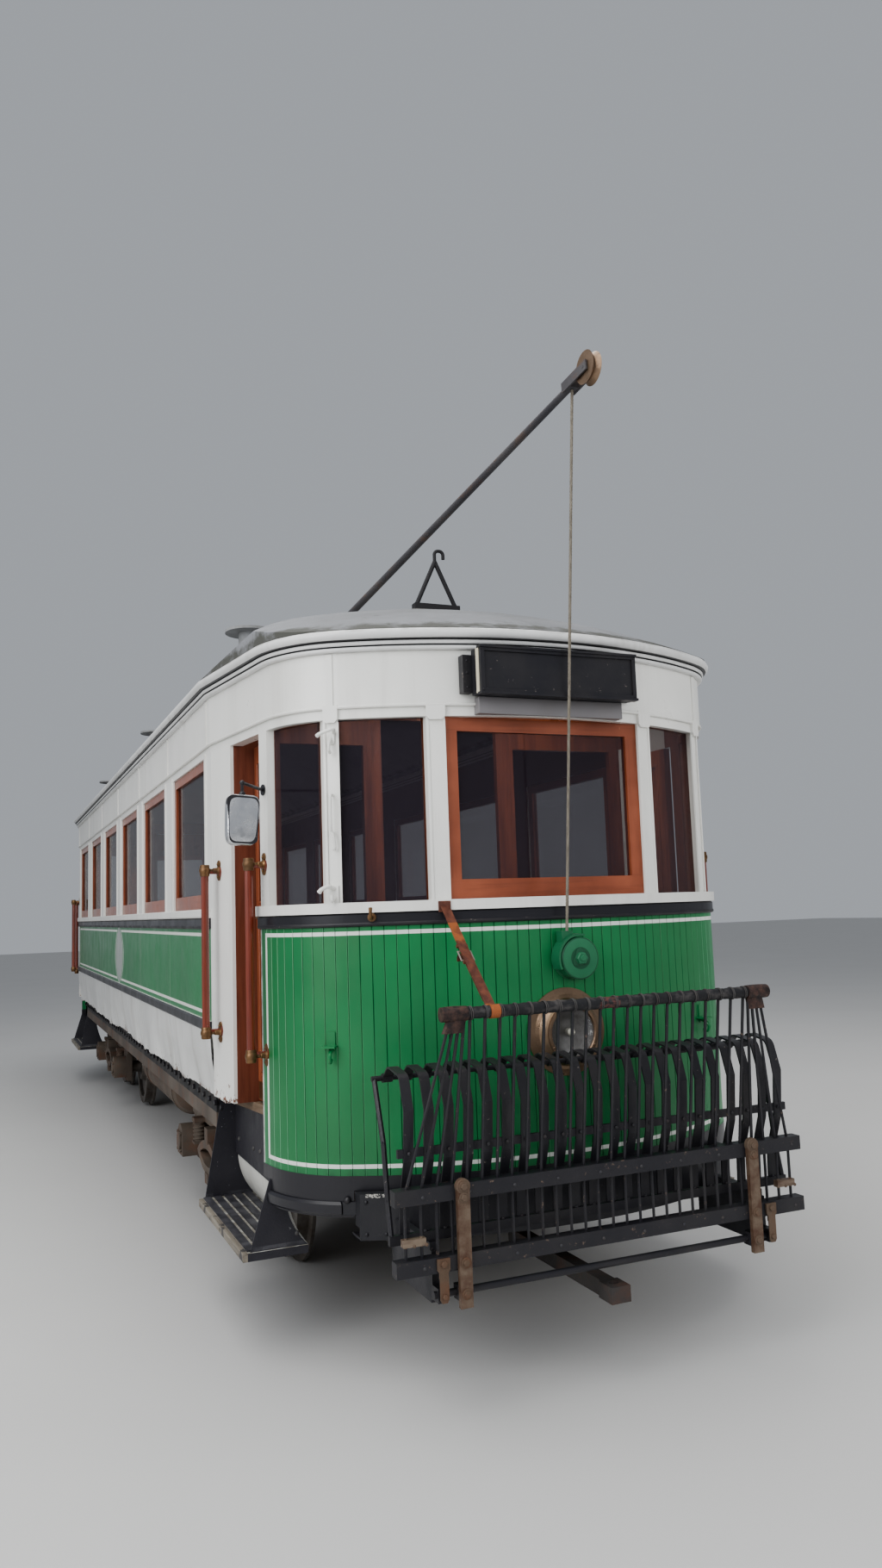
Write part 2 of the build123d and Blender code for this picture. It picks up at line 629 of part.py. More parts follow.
def make_apron(name, sign):
    """Folding part: wrapped top bar, rods, two beams, and the levers down to the pivot."""
    apron = light_bar((-TOP_BAR_HALF, -TOP_BAR_Y, TOP_BAR_Z), (TOP_BAR_HALF, -TOP_BAR_Y, TOP_BAR_Z),
                      TOP_BAR_DIAMETER, TOP_BAR_SIDES)
    front = -FENDER_BEAM_Y - FENDER_BEAM_DEPTH / 2
    back = -FENDER_BEAM_Y + FENDER_BEAM_DEPTH / 2
    half_height = FENDER_BEAM_HEIGHT / 2
    for z in (UPPER_BEAM_Z, LOWER_BEAM_Z):
        apron += box(-FENDER_BEAM_HALF, FENDER_BEAM_HALF, front, back, z - half_height, z + half_height)
    rods = [light_bar((top, -TOP_BAR_Y, TOP_BAR_Z), (low, -FENDER_BEAM_Y, UPPER_BEAM_Z), ROD_DIAMETER)
            for top, low in rod_ends()]
    rods += [light_bar((low, -FENDER_BEAM_Y, UPPER_BEAM_Z), (low, -FENDER_BEAM_Y, LOWER_BEAM_Z), ROD_DIAMETER)
             for _, low in rod_ends()]
    for bar in rods:
        apron += bar
    outer_pair = (ROD_COUNT - 2) / 2 * ROD_PITCH
    for side in (-1, 1):
        apron += Pos(side * outer_pair, -FENDER_BEAM_Y, 630) * Box(ROD_PITCH + 26, 26, 26)
        x = side * LEVER_X
        half = LEVER_WIDTH / 2
        lever = box(x - half, x + half, front - LEVER_THICKNESS, front + 1, 392, UPPER_BEAM_Z + 18)
        lever += box(x - half, x + half, front - LEVER_THICKNESS, back - 5, 415, 465)
        lever -= rod((x - 60, -FENDER_BEAM_Y, FENDER_PIVOT_Z), (x + 60, -FENDER_BEAM_Y, FENDER_PIVOT_Z),
                     FENDER_PIVOT_DIAMETER + 2 * FIT_GAP)
        apron += lever
    save(name, at_end(apron, sign))


def make_pivot_bars():
    """Pivot bar of each apron, held by two hanging plates on the bumper's brackets."""
    bars = []
    for _, sign in ENDS:
        reach = BRACKET_OUTER + 10
        bar = rod((-reach, -FENDER_BEAM_Y, FENDER_PIVOT_Z), (reach, -FENDER_BEAM_Y, FENDER_PIVOT_Z),
                  FENDER_PIVOT_DIAMETER)
        behind = -FENDER_BEAM_Y + 45 - FIT_GAP
        for side in (-1, 1):
            bar += box(side * BRACKET_INNER, side * BRACKET_OUTER, -FENDER_BEAM_Y - 20, behind, 415, 465)
            bar += box(side * BRACKET_INNER, side * BRACKET_OUTER, behind - 12, behind, 412, 580)
        bars.append(at_end(bar, sign))
    save("fender_pivot_bars", *bars)


def make_headlamp(face_y):
    """Flange on the dash, bezel that curves forward to a ring, and the lamp's well inside it."""
    ring_radius, depth = LAMP_RING_RADIUS, LAMP_DEPTH
    bezel = ((0, 0), (LAMP_FLANGE_RADIUS, 0), (LAMP_FLANGE_RADIUS, 8), (LAMP_FLANGE_RADIUS - 14, 12),
             (ring_radius + 34, 16), (ring_radius + 20, depth * 0.42), (ring_radius + 6, depth * 0.8),
             (ring_radius, depth), (ring_radius - 12, depth), (ring_radius - 18, depth * 0.8),
             (ring_radius - 22, 22), (0, 22))
    return lathe((0, face_y - FIT_GAP, LAMP_Z), -1, *bezel)


def make_retriever(face_y):
    """Rope drum with a rounded cover, its nut, and the hood that the rope runs in by."""
    radius, depth = RETRIEVER_RADIUS, RETRIEVER_DEPTH
    centre = (RETRIEVER_X, face_y - FIT_GAP, RETRIEVER_Z)
    drum = lathe(centre, -1, (0, 0), (radius, 0), (radius, 8), (radius - 6, 14), (radius - 6, depth - 18),
                 (radius - 12, depth - 6), (radius - 26, depth), (0, depth))
    nut = Plane(origin=(RETRIEVER_X, face_y - depth, RETRIEVER_Z), z_dir=(0, -1, 0))
    drum += extrude(nut * Circle(24), 5) + extrude(nut * RegularPolygon(15, 6), 16)
    rope_end = swung(Pos(*ROPE_LOW) * Box(1, 1, 1)).center()
    drum += box(rope_end.X - 26, rope_end.X + 26, face_y - depth + 10, face_y - 20,
                RETRIEVER_Z + 30, ROPE_LOW[2] - FIT_GAP)
    return drum


def make_sign_box(face_y):
    """Destination box under the cornice: a rim round a sunk blank face."""
    back = face_y - LETTERBOARD_PROUD - FIT_GAP
    sign_box = box(-SIGN_HALF, SIGN_HALF, face_y - SIGN_DEPTH - LETTERBOARD_PROUD, back, SIGN_BOTTOM, SIGN_TOP)
    sign_box -= box(-SIGN_HALF + SIGN_RIM, SIGN_HALF - SIGN_RIM, -FAR, face_y - SIGN_DEPTH,
                    SIGN_BOTTOM + SIGN_RIM, SIGN_TOP - SIGN_RIM)
    return sign_box


def make_mirror():
    """Mirror with rounded corners on a bent arm from the platform's side."""
    outline = Polyline((-1312, 2084), (-1198, 2076), (-1188, 2268), (-1320, 2282), close=True)
    face = make_face(outline)
    face = fillet(face.vertices(), radius=24)
    mirror = Pos(0, -4796, 0) * extrude(Plane.XZ * face, 30)
    mirror += light_bar((-1255, -4810, 2262), (-1255, -4810, 2334), 14)
    mirror += light_bar((-1255, -4810, 2330), (-1110, -4560, 2330), 14)
    mirror += extrude(on_side(-1, 4560, 2330, FIT_GAP) * Circle(24), 5)
    return mirror


def make_drawbar():
    """Square drawbar with the eye for a coupling pin, hung from the headstock."""
    bar = box(-30, 30, -5480, -4600, 300, 360)
    bar += box(-42, 42, -5495, -5400, 300, 360)
    bar -= rod((0, -5440, 280), (0, -5440, 380), 40)
    bar += box(-25, 25, -4700, -4650, 350, SILL_BEAM_BOTTOM - FIT_GAP)
    return bar


def make_end_fittings():
    """Headlamps, destination boxes, rope retrievers, mirrors and drawbars of both ends."""
    face_y = -(BOW_CENTRE_Y + BOW_RADIUS)
    fittings = {"headlamps": make_headlamp(face_y), "destination_boxes": make_sign_box(face_y),
                "rope_retrievers": make_retriever(face_y), "mirrors": make_mirror(), "drawbars": make_drawbar()}
    for name, fitting in fittings.items():
        save(name, *(at_end(fitting, sign) for _, sign in ENDS))


def make_grab_rails():
    """Wooden hand rails beside each entrance, on rosettes with a short stem."""
    rails = []
    for _, sign in ENDS:
        for side in (-1, 1):
            for y, z0, z1 in ((-3985, 1250, 2010), (-4560, 1200, 2010)):
                x = side * (wall_x(-y) + 70)
                rail = light_bar((x, y, z0), (x, y, z1), 36, 12)
                for z in (z0 + 10, z1 - 10):
                    rail += light_bar((x, y, z), (side * (wall_x(-y) + 3), y, z), 18, 8)
                    rail += extrude(on_side(side, -y, z, FIT_GAP) * RegularPolygon(30, 8), 6)
                rails.append(at_end(rail, sign))
    save("grab_rails", *rails)


def make_controls():
    """Controller with its handle, and the brake column with its hand wheel, on each platform."""
    units = []
    for _, sign in ENDS:
        case = Pos(-330, -4920, FLOOR_TOP + FIT_GAP + 400) * Box(260, 180, 800)
        case += Pos(-330, -4920, FLOOR_TOP + 812) * Cylinder(88, 30)
        case += light_bar((-330, -4920, FLOOR_TOP + 820), (-330, -4920, FLOOR_TOP + 870), 34, 8)
        case += box(-350, -220, -4932, -4908, FLOOR_TOP + 856, FLOOR_TOP + 872)
        units.append(at_end(case, sign))
        column = light_bar((300, -4910, FLOOR_TOP + FIT_GAP), (300, -4910, 1890), 44, 8)
        rim = Cylinder(120, 22) - Cylinder(98, 30)
        spokes = Box(212, 20, 12) + Box(20, 212, 12) + Cylinder(28, 26)
        column += Pos(300, -4910, 1890) * (rim + spokes)
        units.append(at_end(column, sign))
    save("driver_controls", *units)


def make_door(name, side, sign):
    """Swing leaf: tall pane over a sunk panel."""
    y0, y1 = -DOOR_FRONT_Y + DOOR_GAP, -DOOR_REAR_Y - DOOR_GAP
    x_out = side * (wall_x(DOOR_FRONT_Y) - DOOR_INSET)
    x_in = x_out - side * DOOR_THICKNESS
    leaf = box(x_out, x_in, y0, y1, FLOOR_TOP + 12, PANE_HEAD - 10)
    leaf -= box(x_out + side, x_in - side, y0 + 70, y1 - 70, SILL_TOP + 20, PANE_HEAD - 90)
    leaf -= box(x_out + side, x_out - side * 10, y0 + 70, y1 - 70, 1080, SILL_TOP - 90)
    leaf -= box(x_in - side, x_in + side * 10, y0 + 70, y1 - 70, 1080, SILL_TOP - 90)
    for z in (1150, 1780, 2450):
        leaf += box(x_in, x_in + side * 30, y1, y1 + 3, z - 45, z + 45)
        leaf += Pos(x_in, -DOOR_REAR_Y - FIT_GAP - HINGE_DIAMETER / 2, z) * Cylinder(HINGE_DIAMETER / 2, 90)
    middle = (x_out + x_in) / 2
    leaf += box(middle - 3, middle + 3, y0 + 69, y1 - 69, SILL_TOP + 19, PANE_HEAD - 89)
    save(name, at_end(leaf, sign))


def wheelset(y):
    """Two flanged wheels with a dished web on one axle."""
    axle = rod((-990, y, AXLE_Z), (990, y, AXLE_Z), AXLE_DIAMETER)
    back = WHEEL_BACK_TO_BACK / 2
    tread = TREAD_DIAMETER / 2
    rim = tread - RIM_DEPTH
    web = back + 34
    for side in (-1, 1):
        section = ((AXLE_DIAMETER / 2 - 10, back + 6), (HUB_RADIUS - 15, back + 6), (rim - 12, web), (rim, back),
                   (tread + FLANGE_DEPTH, back), (tread + FLANGE_DEPTH, back + FLANGE_WIDTH * 0.6),
                   (tread, back + FLANGE_WIDTH), (tread - 4, back + TYRE_WIDTH), (rim, back + TYRE_WIDTH),
                   (rim - 12, web + WEB_THICKNESS), (HUB_RADIUS, back + 52), (HUB_RADIUS - 25, back + 106),
                   (AXLE_DIAMETER / 2 - 10, back + 106))
        wheel = revolve(Plane.XY * make_face(Polyline(*section, close=True)), Axis.Y)
        axle += Pos(0, y, AXLE_Z) * Rot(0, 0, -90 * side) * wheel
    return axle


def leaf_outline(y, reach, camber):
    """Two bows that meet at their ends, as the leaves of an elliptic spring do."""
    left, right = (y - reach, SPRING_Z), (y + reach, SPRING_Z)
    return make_face([ThreePointArc(left, (y, SPRING_Z + camber), right),
                      ThreePointArc(right, (y, SPRING_Z - camber), left)])


def bogie_side(side, y):
    """Forged side frame with its jaws and ties, axleboxes, elliptic spring and inner coil springs."""
    x0, x1 = side * FRAME_INNER_X, side * FRAME_OUTER_X
    bottom = JAW_BOTTOM - TIE_THICKNESS
    frame = box(x0, x1, y - FRAME_HALF_LENGTH, y + FRAME_HALF_LENGTH, FRAME_TOP - FRAME_BAR, FRAME_TOP)
    frame += box(x0, x1, y - 220, y + 220, bottom, JAW_BOTTOM)
    for axle in (-1, 1):
        ay = y + axle * WHEELBASE / 2
        for jaw in (-1, 1):
            jaw_y = ay + jaw * JAW_HALF
            frame += box(x0, x1, jaw_y, jaw_y + jaw * JAW_WIDTH, bottom, FRAME_TOP - 1)
        coil_y = ay - axle * (JAW_HALF + JAW_WIDTH + 44)
        frame += box(x0, side * 990, coil_y - 44, coil_y + 44, 388, 402)
        frame += Pos(side * 950, coil_y, 460) * Cylinder(34, 118)
        frame += box(x0, side * 990, coil_y - 44, coil_y + 44, FRAME_TOP - FRAME_BAR - 2, FRAME_TOP - 30)
        frame += box(x0, x1, coil_y - 46, coil_y + 46, 388, 402)
        frame += box(x0, x1, ay - JAW_HALF - JAW_WIDTH, ay + JAW_HALF + JAW_WIDTH, bottom, JAW_BOTTOM)
        inner_jaw = ay - axle * (JAW_HALF + JAW_WIDTH)
        brace = Polyline((inner_jaw, bottom), (inner_jaw, JAW_BOTTOM + 12), (y + axle * 200, JAW_BOTTOM),
                         (y + axle * 200, bottom), close=True)
        frame += Pos(x0, 0, 0) * extrude(Plane.YZ * make_face(brace), x1 - x0)
        half = AXLEBOX_HALF
        crown = Polyline((ay - half, AXLE_Z), (ay - half, JAW_BOTTOM + 4), (ay + half, JAW_BOTTOM + 4),
                         (ay + half, AXLE_Z))
        arch = ThreePointArc((ay + half, AXLE_Z), (ay, AXLE_Z + half + 14), (ay - half, AXLE_Z))
        housing = extrude(Plane.YZ * make_face([crown, arch]), side * (AXLEBOX_OUTER_X - 868))
        frame += Pos(side * 868, 0, 0) * housing
        frame += Pos(side * (AXLEBOX_OUTER_X + 6), ay, AXLE_Z) * Rot(0, 90, 0) * Cylinder(58, 14)
        frame += box(side * 868, x1, ay - half, ay + half, AXLE_Z + 40, FRAME_TOP - FRAME_BAR + 1)
    spring = leaf_outline(y, 300, 95) - leaf_outline(y, 215, 47)
    frame += Pos(side * 935, 0, 0) * extrude(Plane.YZ * spring, side * 75)
    frame += box(side * 900, side * 1015, y - 45, y + 45, 490, FRAME_TOP)
    frame += box(side * 900, side * 1015, y - 45, y + 45, bottom, 322)
    return frame


def brake_shoe(side, y, axle):
    """Shoe that hangs beside the tread, on the bogie's side frame."""
    ay = y + axle * WHEELBASE / 2
    face = TREAD_DIAMETER / 2 + SHOE_GAP
    near, far = ay - axle * (face - 4), ay - axle * (face + 44)
    shoe = box(side * 716, side * 764, near, far, 320, 440)
    shoe -= rod((side * 600, ay, AXLE_Z), (side * 860, ay, AXLE_Z), 2 * face)
    shoe += box(side * 716, side * 750, far - axle * 2, far + axle * 24, 400, 560)
    shoe += box(side * 716, side * (FRAME_INNER_X + 5), far - axle * 2, far + axle * 24, 530, 560)
    return shoe


def make_bogie(name, motor_name, y):
    """Two side frames joined by transoms and a bolster, with brake shoes and motors."""
    frame = None
    for side in (-1, 1):
        half = bogie_side(side, y)
        for axle in (-1, 1):
            half += brake_shoe(side, y, axle)
        frame = half if frame is None else frame + half
    for dy in (-130, 130):
        frame += box(-900, 900, y + dy - 40, y + dy + 40, 440, 540)
    frame += box(-900, 900, y - 110, y + 110, 540, 640)
    frame += Pos(0, y, 687) * Cylinder(180, 96)
    for axle in (-1, 1):
        ay = y + axle * WHEELBASE / 2
        frame -= rod((-1000, ay, AXLE_Z), (1000, ay, AXLE_Z), AXLE_DIAMETER + 4)
    save(name, frame)
    motors = []
    for axle in (-1, 1):
        ay = y + axle * (WHEELBASE / 2 - 320)
        motors.append(box(-330, 330, ay - 190, ay + 190, 190, 440 - FIT_GAP))
    save(motor_name, *motors)


def make_tank():
    """Air reservoir with domed ends, slung along the left side between the bogies."""
    tank = Pos(-820, -550, 590) * revolve(Plane.XY * make_face(Polyline(
        (0, -800), (90, -792), (150, -765), (165, -730), (165, 730), (150, 765), (90, 792), (0, 800), close=True)),
        Axis.Y)
    for y in (-1250, 0):
        tank += box(-860, -780, y - 20, y + 20, 740, 799.7)
        tank += Pos(-820, y, 590) * Rot(90, 0, 0) * Cylinder(171, 44)
    save("air_tank", tank)


def make_hook(seat):
    """A-frame that holds the lowered pole, with a curled hook on its top."""
    hook = box(-130, 130, -3975, -3925, 3300, 3410) - seat
    for side in (-1, 1):
        hook += light_bar((side * 115, -3950, 3400), (0, -3950, 3650), 24, 8)
    curl = FilletPolyline((0, -3950, 3640), (0, -3950, 3712), (50, -3950, 3712), (50, -3950, 3668), radius=22)
    start = Plane(origin=(0, -3950, 3640), z_dir=(0, 0, 1))
    return hook + sweep(start * Circle(9), path=curl)


def make_roof_fittings():
    """Walkway board, ventilators and the hook that holds the lowered pole at each end."""
    canvas = roof_form(0, ROOF_PROUD)
    over = roof_form(-WALKWAY_THICKNESS, ROOF_PROUD)
    board = (over & box(-170, 170, -4050, 4050, 3000, FAR)) - canvas
    pieces = [board]
    for side in (-1, 1):
        for y in (-3430, 0, 3430):
            vent = Pos(side * 895, y, 3235) * Cylinder(60, 190)
            vent += Pos(side * 895, y, 3330) * Cylinder(132, 14)
            pieces.append(vent - canvas)
    seat = roof_form(-WALKWAY_THICKNESS - FIT_GAP, ROOF_PROUD)
    for _, sign in ENDS:
        pieces.append(at_end(make_hook(seat), sign))
    save("roof_fittings", *pieces)
    base_z = ROOF_CROWN + WALKWAY_THICKNESS + FIT_GAP
    save("trolley_base", Pos(0, 0, base_z + 15) * Cylinder(160, 30))


def swung(solid):
    """The pole stands slightly off the middle line as the car is parked."""
    return Rot(0, 0, POLE_TURN_DEGREES) * solid


def make_pole():
    """Turntable with its springs, the tapered pole with its harp, the wheel and the rope."""
    top = ROOF_CROWN + WALKWAY_THICKNESS + 30 + 2 * FIT_GAP
    turntable = Pos(0, 0, top + 15) * Cylinder(150, 30)
    for side in (-1, 1):
        turntable += box(side * 45, side * 70, -60, 60, top + 20, POLE_PIVOT_Z + 40)
        turntable += box(side * 88, side * 122, -40, 380, top + 12, top + 30)
        turntable += light_bar((side * 105, 10, top + 62), (side * 105, 350, top + 62), 56, 8)
        turntable += box(side * 88, side * 122, 350, 380, top + 20, top + 96)
        turntable += box(side * 60, side * 122, -30, 10, top + 20, top + 96)
    turntable += rod((-75, 0, POLE_PIVOT_Z), (75, 0, POLE_PIVOT_Z), 24)
    save("trolley_turntable", swung(turntable))
    start, end = (0, 0, POLE_PIVOT_Z), (0, -POLE_HEAD_Y, POLE_HEAD_Z)
    plane = Plane(origin=start, x_dir=(1, 0, 0), z_dir=Vector(*end) - Vector(*start))
    length = (Vector(*end) - Vector(*start)).length
    reach = length - 125
    pole = plane * Pos(0, 0, reach / 2) * Cone(POLE_ROOT_DIAMETER / 2, POLE_TIP_DIAMETER / 2, reach)
    pole += plane * Pos(0, 0, 130) * Cylinder(POLE_ROOT_DIAMETER / 2 + 9, 260)
    pole += Pos(0, 0, POLE_PIVOT_Z) * Rot(0, 90, 0) * Cylinder(42, 86)
    pole -= rod((-80, 0, POLE_PIVOT_Z), (80, 0, POLE_PIVOT_Z), 24.6)
    for side in (-1, 1):
        pole += plane * Pos(side * 27, 0, length - 75) * Box(8, 44, 200)
    pole += plane * Pos(0, 0, length - 140) * Box(56, 40, 44)
    pole += rod((-32, -POLE_HEAD_Y, POLE_HEAD_Z), (32, -POLE_HEAD_Y, POLE_HEAD_Z), 14)
    save("trolley_pole", swung(pole))
    groove = Polyline((8, -20), (TROLLEY_WHEEL_DIAMETER / 2, -20), (TROLLEY_WHEEL_DIAMETER / 2 - 16, 0),
                      (TROLLEY_WHEEL_DIAMETER / 2, 20), (8, 20), close=True)
    wheel = revolve(Plane.XY * make_face(groove), Axis.Y)
    save("trolley_wheel", swung(Pos(0, -POLE_HEAD_Y, POLE_HEAD_Z) * Rot(0, 0, 90) * wheel))
    save("trolley_rope", swung(rod(ROPE_TOP, ROPE_LOW, ROPE_DIAMETER)))


def make_fender_straps():
    """Leather strap that holds the folded apron up: a billet on the sill, and a loop on the top bar."""
    buckle, low = (-507, -5320, 1612), (-509, -TOP_BAR_Y + 21, TOP_BAR_Z + 14)
    root = on_bow(-505, 1800, SILL_PROUD + FIT_GAP)
    uppers = []
    for name, sign in ENDS:
        plate = extrude(root * Rectangle(44, 50), 5)
        start = Vector(*root.origin) + Vector(0, -6, 0)
        for piece, first, last in (("upper", start, Vector(*buckle)), ("lower", Vector(*buckle), Vector(*low))):
            direction = last - first
            plane = Plane(origin=first, x_dir=(1, 0, 0), z_dir=direction)
            strap = plane * Pos(0, 0, direction.length / 2) * Box(38, 5, direction.length - 0.6)
            if piece == "upper":
                uppers.append(at_end(strap + plate, sign))
            else:
                loop = Pos(last.X, -TOP_BAR_Y, TOP_BAR_Z) * Rot(0, 90, 0) * Cylinder(TOP_BAR_DIAMETER / 2 + 5.3, 38)
                loop -= Pos(last.X, -TOP_BAR_Y, TOP_BAR_Z) * Rot(0, 90, 0) * Cylinder(TOP_BAR_DIAMETER / 2 + 0.3, 50)
                strap -= Pos(last.X, -TOP_BAR_Y, TOP_BAR_Z) * Rot(0, 90, 0) * Cylinder(TOP_BAR_DIAMETER / 2 + 0.3, 50)
                save(f"fender_strap_{name}", at_end(strap + loop, sign))
    save("fender_hangers", *uppers)


make_sides()
make_sashes()
bulkheads, steps, bumpers, combs = [], [], [], []
for end_name, end_sign in ENDS:
    make_vestibule(f"vestibule_{end_name}", end_sign)
    make_dash(f"dash_{end_name}", end_sign)
    bulkheads.append(make_bulkhead(end_sign))
    steps.extend(make_steps(end_sign))
    bumpers.append(make_bumper(end_sign))
    combs.append(make_comb(end_sign))
    make_apron(f"fender_apron_{end_name}", end_sign)
    make_bogie(f"bogie_{end_name}", f"motors_{end_name}", -end_sign * BOGIE_CENTRE_Y)
    for door_side, side_name in ((-1, "left"), (1, "right")):
        make_door(f"door_{end_name}_{side_name}", door_side * end_sign, end_sign)
save("bulkheads", *bulkheads)
save("steps", *steps)
save("bumpers", *bumpers)
save("fender_combs", *combs)
make_vestibule_glass()
make_cornice()
make_roof()
make_floor()
make_underframe()
save("seats", *make_seats())
make_pivot_bars()
make_fender_straps()
make_end_fittings()
make_grab_rails()
make_controls()
make_tank()
make_roof_fittings()
make_pole()
axle_names = ("a_outer", "a_inner", "b_inner", "b_outer")
axle_ys = (-BOGIE_CENTRE_Y - WHEELBASE / 2, -BOGIE_CENTRE_Y + WHEELBASE / 2,
           BOGIE_CENTRE_Y - WHEELBASE / 2, BOGIE_CENTRE_Y + WHEELBASE / 2)
for axle_name, axle_y in zip(axle_names, axle_ys):
    save(f"wheelset_{axle_name}", wheelset(axle_y))
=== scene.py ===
# %% [markdown]
# A bogie tram, dressed around its construction model.
# The construction model already holds every load-carrying piece at its real size. This lesson
# gives each surface its paint, grain and wear, and adds the thin things that a builder of the
# real car fits last: boards, lining, mouldings, bolts, rods, leather and rope.
# All lengths are metres, X runs across the car, Y along it, and end a faces minus Y.

# %% Load the construction model
import json
import math
import bpy
import numpy as np
from mathutils import Matrix, Vector
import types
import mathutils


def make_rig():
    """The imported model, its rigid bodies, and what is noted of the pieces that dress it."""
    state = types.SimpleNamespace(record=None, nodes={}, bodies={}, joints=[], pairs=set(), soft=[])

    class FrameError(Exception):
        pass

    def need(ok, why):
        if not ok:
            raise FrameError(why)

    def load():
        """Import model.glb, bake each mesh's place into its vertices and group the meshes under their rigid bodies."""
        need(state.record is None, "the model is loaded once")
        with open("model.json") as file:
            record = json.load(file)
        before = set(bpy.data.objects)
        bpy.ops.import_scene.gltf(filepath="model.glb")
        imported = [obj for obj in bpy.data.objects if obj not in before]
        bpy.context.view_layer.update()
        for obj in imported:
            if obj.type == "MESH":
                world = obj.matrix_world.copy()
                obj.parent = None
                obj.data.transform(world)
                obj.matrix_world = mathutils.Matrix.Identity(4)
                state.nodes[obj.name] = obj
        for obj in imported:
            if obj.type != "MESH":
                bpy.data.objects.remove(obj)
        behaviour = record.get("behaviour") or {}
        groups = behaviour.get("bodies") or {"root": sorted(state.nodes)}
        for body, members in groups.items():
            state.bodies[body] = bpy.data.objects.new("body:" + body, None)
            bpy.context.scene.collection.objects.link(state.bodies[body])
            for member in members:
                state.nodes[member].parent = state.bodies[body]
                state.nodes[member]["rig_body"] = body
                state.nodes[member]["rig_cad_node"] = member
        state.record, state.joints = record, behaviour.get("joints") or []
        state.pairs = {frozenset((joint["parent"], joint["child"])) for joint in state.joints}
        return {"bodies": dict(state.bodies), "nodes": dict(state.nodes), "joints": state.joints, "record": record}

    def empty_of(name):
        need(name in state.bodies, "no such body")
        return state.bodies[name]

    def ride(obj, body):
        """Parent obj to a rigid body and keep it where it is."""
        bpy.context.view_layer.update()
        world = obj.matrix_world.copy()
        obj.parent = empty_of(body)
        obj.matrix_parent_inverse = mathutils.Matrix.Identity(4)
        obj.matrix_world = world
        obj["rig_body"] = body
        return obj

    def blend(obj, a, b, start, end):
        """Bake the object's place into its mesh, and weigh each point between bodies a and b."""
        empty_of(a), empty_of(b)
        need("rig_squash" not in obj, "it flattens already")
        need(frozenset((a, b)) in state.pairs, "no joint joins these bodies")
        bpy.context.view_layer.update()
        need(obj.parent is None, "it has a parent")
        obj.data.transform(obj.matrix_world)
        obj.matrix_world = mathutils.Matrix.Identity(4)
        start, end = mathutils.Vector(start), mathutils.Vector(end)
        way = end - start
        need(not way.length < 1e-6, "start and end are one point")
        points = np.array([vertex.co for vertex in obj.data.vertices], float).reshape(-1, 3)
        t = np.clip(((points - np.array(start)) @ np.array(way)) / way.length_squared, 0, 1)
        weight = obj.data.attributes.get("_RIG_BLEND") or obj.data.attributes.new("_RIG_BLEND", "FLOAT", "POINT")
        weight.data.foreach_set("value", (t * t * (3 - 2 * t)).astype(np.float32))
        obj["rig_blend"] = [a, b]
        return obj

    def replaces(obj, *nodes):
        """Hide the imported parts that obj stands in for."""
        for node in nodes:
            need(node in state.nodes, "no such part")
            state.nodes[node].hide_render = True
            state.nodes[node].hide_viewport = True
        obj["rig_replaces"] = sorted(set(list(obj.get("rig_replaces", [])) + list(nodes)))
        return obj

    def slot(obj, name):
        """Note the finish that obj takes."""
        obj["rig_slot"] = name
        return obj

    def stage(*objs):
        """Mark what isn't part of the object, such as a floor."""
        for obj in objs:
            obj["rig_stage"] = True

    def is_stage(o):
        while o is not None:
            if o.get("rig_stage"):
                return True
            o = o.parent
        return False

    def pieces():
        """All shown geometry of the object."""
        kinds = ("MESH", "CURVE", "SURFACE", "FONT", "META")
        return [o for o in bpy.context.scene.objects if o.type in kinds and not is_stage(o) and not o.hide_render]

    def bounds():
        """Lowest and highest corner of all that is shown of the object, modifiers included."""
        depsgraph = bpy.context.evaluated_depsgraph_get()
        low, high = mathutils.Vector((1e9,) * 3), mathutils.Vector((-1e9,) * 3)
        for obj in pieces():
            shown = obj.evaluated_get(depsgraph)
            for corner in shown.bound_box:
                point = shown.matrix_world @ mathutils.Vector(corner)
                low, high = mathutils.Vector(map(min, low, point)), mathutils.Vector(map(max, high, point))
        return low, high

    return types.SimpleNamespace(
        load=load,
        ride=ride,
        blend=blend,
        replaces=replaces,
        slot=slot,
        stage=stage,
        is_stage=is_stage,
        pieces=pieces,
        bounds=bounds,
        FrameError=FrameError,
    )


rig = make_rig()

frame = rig.load()
nodes = frame["nodes"]
cad_box = [list(corner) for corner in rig.bounds()]
ENDS = (("a", 1), ("b", -1))
print(len(nodes), "pieces in the construction model, box", np.round(cad_box, 3).tolist())

# %% [markdown]
# The photographer stood at eye height, about four metres in front of the platform and two metres
# to its left. A camera is a place and three directions, so it is simplest to work the directions
# out from the yaw, pitch and roll that the perspective of the windows gave, and to write them
# straight into the camera's matrix.

# %% Camera
FRAME_HEIGHT = 1820
FOCAL_PIXELS = 1262
CAMERA_PLACE = Vector((-2.231, -9.187, 1.791))
YAW, PITCH, ROLL = (math.radians(angle) for angle in (23.01, 6.54, -1.97))


def camera_axes(yaw, pitch, roll):
    """Right, up and forward of a camera that looks along +Y, turned right, tilted up and rolled."""
    forward = Vector((math.sin(yaw) * math.cos(pitch), math.cos(yaw) * math.cos(pitch), math.sin(pitch)))
    level = Vector((math.cos(yaw), -math.sin(yaw), 0))
    upright = level.cross(forward)
    right = math.cos(roll) * level + math.sin(roll) * upright
    up = -math.sin(roll) * level + math.cos(roll) * upright
    return right, up, forward


